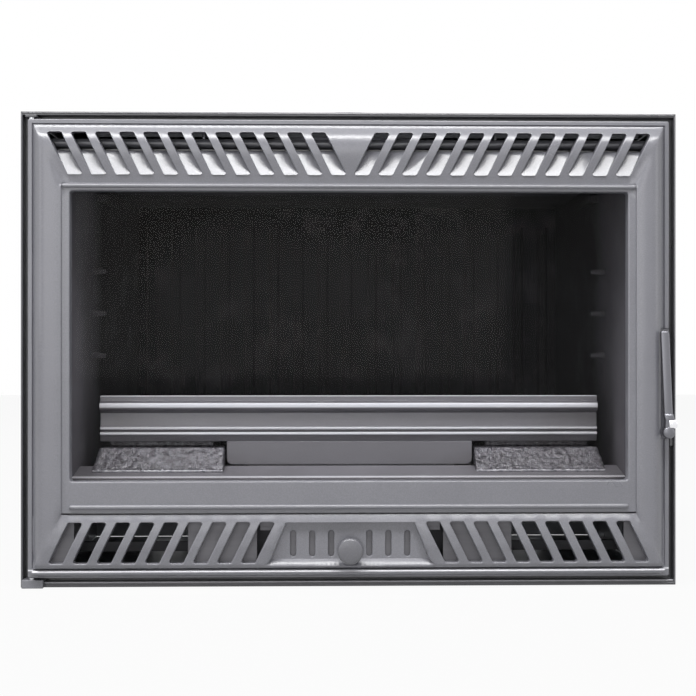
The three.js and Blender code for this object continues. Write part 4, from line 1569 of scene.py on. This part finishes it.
@dataclass
class RopeGasket:
    """The braided rope that seals the door against the frame."""

    half: float = 318.5
    low: float = 91.0
    high: float = 446.0
    corner: float = 14.0
    depth: float = 14.55
    core: float = 4.3
    strands: int = 10
    strand: float = 1.15
    lay: float = 34.0  # one strand goes once round the rope in this length
    segment: float = 4.5

    def build(self) -> None:
        """Winds the strands with Geometry Nodes round a plain core and joins both."""
        corners = box_corners(self.half, self.low, self.high)
        path = ring_of(corners, self.corner, 0.0, even_cuts(60.0), 8)
        curve = bpy.data.curves.new("rope path", "CURVE")
        curve.dimensions = "3D"
        spline = curve.splines.new("POLY")
        spline.points.add(len(path) - 1)
        for point, (x, z) in zip(spline.points, path):
            point.co = (*in_frame((x, self.depth, z)), 1.0)
        spline.use_cyclic_u = True
        sizes = {"Lay": self.lay * MM, "Core": self.core * MM, "Strand": self.strand * MM,
                 "Strands": self.strands}
        made = grown(in_scene("rope guide", curve), self.tree(), "door_rope_gasket", sizes)
        made.data.shade_smooth()
        finish_piece(made, ROPE_YARN, Body.DOOR, Slot.FIBRE, "door_gasket")

    def tree(self) -> Tree:
        """Builds the tree that winds strands both ways round a core along a curve.

        Returns:
            The tree.
        """
        tree, given = node_group("braided rope", {
            "Lay": "NodeSocketFloat", "Core": "NodeSocketFloat",
            "Strand": "NodeSocketFloat", "Strands": "NodeSocketInt"})
        path, lay, core, strand, strands = given.outputs[:5]
        even = add_node(tree, "GeometryNodeResampleCurve",
                        {"Curve": path, "Length": self.segment * MM}, mode="LENGTH")
        parts = []
        for way in (1.0, -1.0):
            copies = add_node(tree, "GeometryNodeDuplicateElements",
                              {"Geometry": even, "Amount": strands}, domain="SPLINE")
            along = add_node(tree, "GeometryNodeSplineParameter").outputs["Length"]
            turns = add_node(tree, "ShaderNodeMath", {0: along, 1: lay}, operation="DIVIDE")
            start = add_node(tree, "ShaderNodeMath",
                             {0: copies.outputs["Duplicate Index"], 1: strands},
                             operation="DIVIDE")
            turn = add_node(tree, "ShaderNodeMath", {0: turns, 1: way, 2: start},
                            operation="MULTIPLY_ADD")
            angle = add_node(tree, "ShaderNodeMath", {0: turn, 1: 2 * math.pi},
                             operation="MULTIPLY")
            normal = add_node(tree, "GeometryNodeInputNormal")
            tangent = add_node(tree, "GeometryNodeInputTangent")
            across = add_node(tree, "ShaderNodeVectorMath", {0: tangent, 1: normal},
                              operation="CROSS_PRODUCT")
            legs = []
            for side, wave in ((normal, "COSINE"), (across, "SINE")):
                share = add_node(tree, "ShaderNodeMath", {0: angle}, operation=wave)
                legs.append(add_node(tree, "ShaderNodeVectorMath", {0: side, "Scale": share},
                                     operation="SCALE"))
            lean = add_node(tree, "ShaderNodeVectorMath", dict(enumerate(legs)), operation="ADD")
            offset = add_node(tree, "ShaderNodeVectorMath", {0: lean, "Scale": core},
                              operation="SCALE")
            wound = add_node(tree, "GeometryNodeSetPosition",
                             {"Geometry": copies, "Offset": offset})
            parts.append((wound, 5, strand))
        parts.append((path, 12, core))
        tubes = []
        for line, sides, radius in parts:
            ring = add_node(tree, "GeometryNodeCurvePrimitiveCircle",
                            {"Resolution": sides, "Radius": radius})
            tubes.append(add_node(tree, "GeometryNodeCurveToMesh",
                                  {"Curve": line, "Profile Curve": ring}))
        close_group(tree, add_node(tree, "GeometryNodeJoinGeometry", {0: tubes}), ROPE_YARN)
        return tree


@dataclass
class Door:
    """The door: its casting, glass, gaskets, clips, register plates and slider guides."""

    casting: DoorCasting = field(default_factory=DoorCasting)
    gasket: RopeGasket = field(default_factory=RopeGasket)

    def build(self) -> None:
        """Makes every piece that rides on the door."""
        self.casting.build()
        carry(Body.DOOR, Slot.GLASS, PANE, 0.8, "door_glass")
        carry(Body.DOOR, Slot.FIBRE, ROPE_YARN, 0.5, "glass_gasket")
        carry(Body.DOOR, Slot.PAINTED, PLATE_STEEL, 0.3,
              "register_plate_right", "register_plate_left")
        carry(Body.DOOR, Slot.CASING, PLATE_STEEL, 0.3,
              "slider_guide_upper", "slider_guide_lower")
        for corner in ("top_left", "top_right", "bottom_left", "bottom_right"):
            carry(Body.DOOR, Slot.BRIGHT, ZINC_STEEL, 0.4, f"glass_clip_{corner}")
            carry(Body.DOOR, Slot.BRIGHT, ZINC_STEEL, 0.25, f"clip_screw_{corner}")
        self.gasket.build()


# ---- Air control and handle --------------------------------------------------------------


@dataclass
class AirControl:
    """The slider behind the air panel with its stem and round knob."""

    radius: float = 13.8
    front: float = -24.0
    thick: float = 9.0
    z: float = 40.8

    def build(self) -> None:
        """Makes the pieces that slide."""
        carry(Body.AIR, Slot.PAINTED, PLATE_STEEL, 0.3, "air_slider")
        carry(Body.AIR, Slot.BRIGHT, ZINC_STEEL, 0.3, "air_knob_stem")
        radius, thick = self.radius, self.thick
        # A shallow crown and a rounded brim, as a turned casting has, then the stem's hollow.
        profile = [(0.6, 0.0), (6.0, 0.1), (radius - 3.4, 0.45), (radius - 1.9, 0.8),
                   (radius - 0.8, 1.5), (radius - 0.2, 2.5), (radius, 3.6), (radius, thick - 1.4),
                   (radius - 0.4, thick - 0.5), (radius - 1.2, thick), (2.6, thick),
                   (2.3, thick - 0.4), (2.3, thick - 5.0), (0.5, thick - 5.0)]
        rings = turning(profile, (0.0, self.front, self.z), 64)
        knob = Draft().tube(rings).mesh("air_knob_turned")
        finish_piece(knob, KNOB_PAINT, Body.AIR, Slot.PAINTED, "air_knob")


Station = tuple[float, float, float, float]  # a bar's height, middle, half width and inset


@dataclass
class Handle:
    """The lever on its shaft, with the cam, washer and nut behind the door's edge."""

    front: float = -17.4
    back: float = -9.6
    round: float = 1.3
    pivot_x: float = 337.5
    pivot_z: float = 165.0
    bar: tuple[Station, ...] = (
        (272.9, 333.4, 2.3, 1.9), (272.5, 333.4, 3.3, 1.0), (271.5, 333.45, 4.1, 0.35),
        (269.8, 333.5, 4.5, 0.0), (185.2, 337.2, 4.5, 0.0), (184.2, 337.25, 4.8, -1.4),
        (181.6, 337.5, 5.0, -2.0), (178.4, 338.4, 4.9, -2.0), (170.0, 338.2, 5.0, -1.6),
        (164.0, 337.6, 5.0, -1.2))
    elbow: tuple[Station, ...] = (
        (178.6, 341.2, 3.0, -1.2), (177.8, 341.3, 4.0, -2.4), (176.2, 341.4, 4.4, -3.0),
        (171.6, 341.6, 4.4, -3.0), (170.0, 341.6, 4.0, -2.2), (169.4, 341.6, 3.0, -1.0))
    hub: tuple[Flat, ...] = ((0.6, -19.6), (4.4, -19.5), (5.7, -18.9), (6.5, -17.4),
                             (6.6, -10.6), (6.0, -9.7), (0.6, -9.6))

    def stack(self, stations: Sequence[Station]) -> list[list[Point]]:
        """Draws rounded sections from the top down.

        Args:
            stations: Heights, middles, half widths and how far the faces are drawn in.

        Returns:
            A ring for each station.
        """
        rings = []
        r = self.round
        for z, x, half, inset in stations:
            front, back = self.front + inset, self.back - min(inset, 0.0) * 0.1
            back = max(back - max(inset, 0.0), front + 2 * r + 0.1)
            ring = []
            for cx, cy, turn in ((x + half - r, back - r, 0), (x - half + r, back - r, 1),
                                 (x - half + r, front + r, 2), (x + half - r, front + r, 3)):
                for k in range(4):
                    angle = math.pi / 2 * (turn + k / 3)
                    ring.append((cx + r * math.cos(angle), cy + r * math.sin(angle), z))
            rings.append(ring)
        return rings

    def build(self) -> None:
        """Makes the pieces that turn with the handle."""
        lever = Draft().tube(self.stack(self.bar)).mesh("handle_lever_bar", 50.0)
        finish_piece(lever, LEVER_STEEL, Body.HANDLE, Slot.PAINTED, "handle_lever")
        elbow = Draft().tube(self.stack(self.elbow)).mesh("handle_elbow", 50.0)
        # The elbow is paler steel than the lever: a painted highlight where the bend faces the
        # lamps.
        finish_piece(elbow, ELBOW_HIGHLIGHT_STEEL, Body.HANDLE, Slot.BRIGHT)
        rings = turning(self.hub, (self.pivot_x, 0.0, self.pivot_z), 40)
        hub = Draft().tube(rings).mesh("handle_hub")
        finish_piece(hub, LEVER_STEEL, Body.HANDLE, Slot.PAINTED)
        carry(Body.HANDLE, Slot.BRIGHT, ZINC_STEEL, 0.5, "latch_shaft")
        carry(Body.HANDLE, Slot.PAINTED, FRAME_PAINT, 0.3, "latch_cam")
        carry(Body.HANDLE, Slot.BRIGHT, ZINC_STEEL, 0.15, "latch_washer")
        carry(Body.HANDLE, Slot.BRIGHT, ZINC_STEEL, 0.3, "latch_nut")


# ---- Body --------------------------------------------------------------------------------


@dataclass
class FrontFrame:
    """The thin frame that the door closes against, with its hinge fittings and latch keeper."""

    half: float = 350.0
    height: float = 506.0
    lip_front: float = 6.0
    bead: float = 0.8
    bead_in: float = 1.3
    bead_foot: float = 1.9
    bead_corner: float = 1.4
    sill_z: float = 5.0
    sill_sunk: float = 0.3
    sill_end: float = 3.0

    def build(self) -> None:
        """Makes the frame's pieces."""
        carry(Body.INSERT, Slot.PAINTED, FRAME_PAINT, 0.6, "front_frame")
        carry(Body.INSERT, Slot.PAINTED, STOVE_PAINT, 0.8, "hinge_block_lower")
        carry(Body.INSERT, Slot.PAINTED, FRAME_PAINT, 0.4, "hinge_bracket_upper")
        carry(Body.INSERT, Slot.BRIGHT, ZINC_STEEL, 0.4, "hinge_pin_lower", "hinge_pin_upper")
        carry(Body.INSERT, Slot.PAINTED, FRAME_PAINT, 0.4, "latch_keeper")
        self.edge_bead()
        self.sill_bead()

    def edge_bead(self) -> None:
        """Makes the thin bead that runs round the frame's outer edge."""
        corners = box_corners(self.half - self.bead_in, self.bead_foot,
                              self.height - self.bead_in)
        draft = Draft()
        draft.rings([[(x, self.lip_front - proud, z) for x, z in
                      ring_of(corners, self.bead_corner, offset, even_cuts(60.0))]
                     for offset, proud in circle(self.bead, 8)], around=True)
        # The edge bead is painted paler than the frame, as a painted highlight along its edge.
        finish_piece(draft.mesh("frame_edge_bead"), EDGE_HIGHLIGHT_PAINT, Body.INSERT, Slot.PAINTED)

    def sill_bead(self) -> None:
        """Makes the upper edge of the frame's lower lip, painted near-white as a highlight."""
        reach = self.half - self.sill_end
        rings = [[(x, self.lip_front + self.sill_sunk + a, self.sill_z + b)
                  for a, b in circle(self.bead, 10)] for x in steps(-reach, reach, 60.0)]
        made = Draft().tube(rings).mesh("frame_sill_bead")
        # Painted highlight: the lip's upper edge is near-white, though the door shades it.
        finish_piece(made, LIP_HIGHLIGHT_PAINT, Body.INSERT, Slot.PAINTED)


@dataclass
class RetainerBracket:
    """A coarse, thickly painted wedge on the sill that carries one end of the retainer bar."""

    side: str
    sign: int
    voxel_mm: float = 1.3
    lump_mm: float = 5.0
    rough_mm: float = 0.55
    tallest: float = 0.8  # lumps are cut off at this share of rough_mm
    foot_inner: float = 139.0
    foot_outer: float = 281.0
    foot_depth: float = 43.4
    foot_z: float = 119.9
    run_radius: float = 1.5
    run_wave: float = 0.33  # how fast the run's thickness wanders along its foot
    run_swell: float = 0.45  # how far it swells, as a share of its radius
    run_sag: float = 0.5

    def build(self) -> None:
        """Makes the wedge, and the run of paint along its foot painted near-white as a highlight.
        """
        node = f"retainer_bracket_{self.side}"
        wedge = shaded(self.lumpy(node), f"{node}_casting", 60.0)
        finish_piece(wedge, BRACKET_GLAZE, Body.INSERT, Slot.PAINTED, node)
        rings = []
        for x in steps(self.foot_inner, self.foot_outer, 1.6):
            wobble = noise.noise(Vector((x * self.run_wave, self.sign * 5.0, 0.0)))
            z = self.foot_z + self.run_sag * wobble
            radius = self.run_radius * (1.0 + self.run_swell * wobble)
            rings.append([(self.sign * x, self.foot_depth + a, z + b)
                          for a, b in circle(radius, 10)])
        run = Draft().tube(rings).mesh(f"{node}_paint_run_highlight")
        # Painted highlight: the run is near-white, unlike the dark glaze it belongs to.
        finish_piece(run, PAINT_RUN_HIGHLIGHT, Body.INSERT, Slot.PAINTED)

    def lumpy(self, node: str) -> bpy.types.Mesh:
        """Divides the wedge's faces evenly and raises lumps on them.

        Args:
            node: The CAD node.

        Returns:
            The lumpy mesh.
        """
        start = softened(node, "bracket start", 1.2)
        start.modifiers.clear()
        remesh = start.modifiers.new("even faces", "REMESH")
        remesh.mode, remesh.voxel_size = "VOXEL", self.voxel_mm * MM
        mesh = settled(start)
        normals = [vertex.normal.copy() for vertex in mesh.vertices]
        for vertex, normal in zip(mesh.vertices, normals):
            place = vertex.co / (self.lump_mm * MM)
            lump = noise.fractal(place, 1.0, 2.0, 3) + 0.5 * noise.noise(place * 3.1)
            vertex.co += normal * min(lump, self.tallest) * self.rough_mm * MM
        return mesh


@dataclass
class Firebox:
    """The cast firebox and the loose castings in it."""

    brackets: tuple[RetainerBracket, ...] = (
        RetainerBracket("right", 1), RetainerBracket("left", -1))

    def build(self) -> None:
        """Makes the firebox's pieces."""
        for bracket in self.brackets:
            bracket.build()
        carry(Body.INSERT, Slot.PAINTED, FLOOR_PAINT, 0.9, "firebox_floor")
        carry(Body.INSERT, Slot.FIRED, SOOT_AND_SHADE_IRON, 0.9, "side_wall_right", "side_wall_left")
        carry(Body.INSERT, Slot.FIRED, SOOT_AND_SHADE_IRON, 1.0, "rear_wall")
        carry(Body.INSERT, Slot.PAINTED, STOVE_PAINT, 0.8, "firebox_top")
        carry(Body.INSERT, Slot.PAINTED, STOVE_PAINT, 0.9, "flue_collar")
        carry(Body.INSERT, Slot.FIRED, SOOT_AND_SHADE_IRON, 0.9, "baffle_plate")
        carry(Body.INSERT, Slot.PAINTED, SILL_PAINT, 0.8, "apron_plate")
        carry(Body.INSERT, Slot.BRIGHT, ZINC_STEEL, 0.5,
              *(f"collar_bolt_{i}" for i in range(1, 5)))
        carry(Body.RETAINER, Slot.PAINTED, SILL_PAINT, 0.5, "fuel_retainer")
        carry(Body.GRATE, Slot.FIRED, SOOT_AND_SHADE_IRON, 0.9, "grate")


@dataclass
class Casing:
    """The sheet-steel convection casing, the ash box and the ash pan."""

    half: float = 336.5
    front: float = 34.0
    back: float = 390.0
    low: float = 10.0
    high: float = 489.0
    lid: float = 497.0
    lid_inset: float = 8.0
    head_radius: float = 3.6
    head_height: float = 2.2
    washer_radius: float = 5.2
    washer_thick: float = 1.2

    def build(self) -> None:
        """Makes the casing's pieces."""
        carry(Body.INSERT, Slot.CASING, CASING_SHEET, 0.5, "casing_top", "casing_right",
              "casing_left", "casing_rear", "casing_base", "casing_gusset_right",
              "casing_gusset_left")
        carry(Body.INSERT, Slot.CASING, BLACK_SHEET, 0.4, "convection_rail_right",
              "convection_rail_left", "ash_box", "ash_pan")
        self.screws()

    def screws(self) -> None:
        """Sets the sheet-metal screws along the edges of the side sheets and of the lid."""
        along = steps(self.front, self.back, 61.0)
        for side, sign in (("right", 1), ("left", -1)):
            x = sign * self.half
            places = [(x, y, z) for z in (self.low, self.high) for y in along]
            places += [(x, self.back, z) for z in steps(self.low, self.high, 80.0)[1:-1]]
            self.screw_row(f"casing_screws_{side}", places, (0.0, sign * math.pi / 2, 0.0))
        reach = self.half - self.lid_inset
        lid = [(x, y, self.lid) for x in (reach, -reach) for y in along]
        lid += [(x, self.back, self.lid) for x in steps(-reach, reach, 82.0)[1:-1]]
        self.screw_row("casing_screws_lid", lid, (0.0, 0.0, 0.0))

    def screw_row(self, name: str, places: Sequence[Point], turn: Point) -> None:
        """Puts a domed screw head at each place with Geometry Nodes.

        Args:
            name: The piece's name.
            places: Where the heads sit, in mm.
            turn: The Euler turn that points a head out of its sheet.
        """
        mesh = bpy.data.meshes.new(name)
        mesh.from_pydata([in_frame(place) for place in places], [], [])
        tree, given = node_group(name, {"Radius": "NodeSocketFloat", "Height": "NodeSocketFloat"})
        points, radius, height = given.outputs[:3]
        dome = add_node(tree, "GeometryNodeMeshUVSphere",
                        {"Segments": 14, "Rings": 8, "Radius": radius})
        share = add_node(tree, "ShaderNodeMath", {0: height, 1: radius}, operation="DIVIDE")
        flat = add_node(tree, "ShaderNodeCombineXYZ", {"X": 1.0, "Y": 1.0, "Z": share})
        head = add_node(tree, "GeometryNodeTransform", {"Geometry": dome, "Scale": flat})
        washer = add_node(tree, "GeometryNodeMeshCylinder",
                          {"Vertices": 14, "Radius": self.washer_radius * MM,
                           "Depth": self.washer_thick * MM})
        both = add_node(tree, "GeometryNodeJoinGeometry", {0: [head, washer]})
        row = add_node(tree, "GeometryNodeInstanceOnPoints",
                       {"Points": points, "Instance": both, "Rotation": turn})
        close_group(tree, row, ZINC_STEEL)
        made = grown(in_scene("screw places", mesh), tree, name,
                     {"Radius": self.head_radius * MM, "Height": self.head_height * MM})
        made.data.shade_smooth()
        made.data.set_sharp_from_angle(angle=math.radians(40.0))
        finish_piece(made, ZINC_STEEL, Body.INSERT, Slot.BRIGHT)


# ---- Studio ------------------------------------------------------------------------------


def white_share(tree: Tree) -> Node:
    """Adds a value that is 1 for what the camera, mirrors and glass see, and 0 for other light.

    Args:
        tree: The tree of a material or the world.

    Returns:
        The node that gives it.
    """
    path = add_node(tree, "ShaderNodeLightPath")
    seen = path.outputs["Is Camera Ray"]
    for ray in ("Is Glossy Ray", "Is Transmission Ray"):
        seen = add_node(tree, "ShaderNodeMath", {0: seen, 1: path.outputs[ray]},
                        operation="MAXIMUM")
    return seen


@dataclass(frozen=True)
class PaleFloor(Finish):
    """A matt white studio sweep that the camera sees as white, with a trace of shadow."""

    colour: str = "#a6a6a6"
    glow: float = 0.94  # share of plain white in what the camera, mirrors and glass see

    def make(self, tree: Tree) -> Node:
        """Mixes the matt floor with plain white.

        Args:
            tree: The material's tree.

        Returns:
            The shader.
        """
        matt = add_node(tree, "ShaderNodeBsdfDiffuse", {"Color": linear(self.colour)})
        white = add_node(tree, "ShaderNodeEmission", {"Color": WHITE, "Strength": 1.0})
        share = add_node(tree, "ShaderNodeMath", {0: white_share(tree), 1: self.glow},
                         operation="MULTIPLY")
        return add_node(tree, "ShaderNodeMixShader", {0: share, 1: matt, 2: white})


@dataclass(frozen=True)
class Lamp:
    """A soft rectangular lamp that points at the object."""

    name: str
    place: Point  # in metres
    width: float
    height: float
    power: float

    def build(self, aim: Vector) -> None:
        """Hangs the lamp at its place and turns it to the aim.

        Args:
            aim: Where it points, in metres.
        """
        light = bpy.data.lights.new(self.name, "AREA")
        light.shape, light.energy = "RECTANGLE", self.power
        light.size, light.size_y = self.width, self.height
        lamp = in_scene(self.name, light)
        lamp.location = self.place
        lamp.rotation_euler = (aim - Vector(self.place)).to_track_quat("-Z", "Y").to_euler()


@dataclass
class Studio:
    """The pale floor, the soft lamps and the camera."""

    eye: Point = (-0.015, -1.692, 0.2545)  # in metres
    lens_mm: float = 73.1
    sensor_mm: float = 36.0
    yaw_deg: float = 1.5
    shift: float = -0.0361
    ambient: float = 0.06
    floor_half: float = 6.0
    floor_drop: float = 0.0005  # keeps the floor clear of the insert's base
    aim: Point = (0.0, -0.1, 0.25)
    lamps: tuple[Lamp, ...] = (
        Lamp("overhead lamp", (-0.3, -1.15, 2.4), 3.0, 0.6, 88.0),
        Lamp("front lamp", (-0.6, -3.2, 0.75), 2.4, 1.2, 14.0),
        Lamp("left lamp", (-2.4, -1.4, 0.9), 1.0, 1.4, 6.0),
        Lamp("right lamp", (2.4, -1.4, 0.9), 1.0, 1.4, 6.0),
        Lamp("rear lamp", (0.0, 2.6, 1.9), 3.0, 1.6, 30.0),
    )

    def build(self) -> None:
        """Sets up the studio."""
        half = self.floor_half
        mesh = bpy.data.meshes.new("studio_floor")
        mesh.from_pydata([(x, z, 0) for x, z in box_corners(half, -half, half)], [],
                         [(0, 1, 2, 3)])
        floor = in_scene("studio_floor", mesh)
        floor.data.materials.append(PaleFloor("Matt white floor").material())
        floor.location.z = -self.floor_drop
        for lamp in self.lamps:
            lamp.build(Vector(self.aim))
        self.sky()
        camera = in_scene("camera", bpy.data.cameras.new("camera"))
        camera.data.lens, camera.data.sensor_width = self.lens_mm, self.sensor_mm
        camera.data.shift_x = self.shift
        camera.location = self.eye
        camera.rotation_euler = (math.pi / 2, 0.0, -math.radians(self.yaw_deg))
        bpy.context.scene.camera = camera
        bpy.context.scene.view_settings.view_transform = "Standard"

    def sky(self) -> None:
        """Makes the world: white where it is seen, and otherwise a soft grey light."""
        world = bpy.data.worlds.new("studio")
        world.use_nodes = True
        bpy.context.scene.world = world
        tree = world.node_tree
        tree.nodes.clear()
        soft, white = (add_node(tree, "ShaderNodeBackground", {"Color": WHITE, "Strength": level})
                       for level in (self.ambient, 1.0))
        mixed = add_node(tree, "ShaderNodeMixShader", {0: white_share(tree), 1: soft, 2: white})
        add_node(tree, "ShaderNodeOutputWorld", {"Surface": mixed})


# ---- The whole object --------------------------------------------------------------------


def main() -> None:
    """Builds the studio and every sub-assembly, and logs each piece's face count."""
    logging.basicConfig(level=logging.INFO, format="%(relativeCreated)6.0f ms  %(message)s")
    Studio().build()
    for assembly in (FrontFrame(), Firebox(), Casing(), Door(), AirControl(), Handle()):
        assembly.build()
        LOG.info("%s is complete", type(assembly).__name__)


if __name__ == "__main__":
    main()
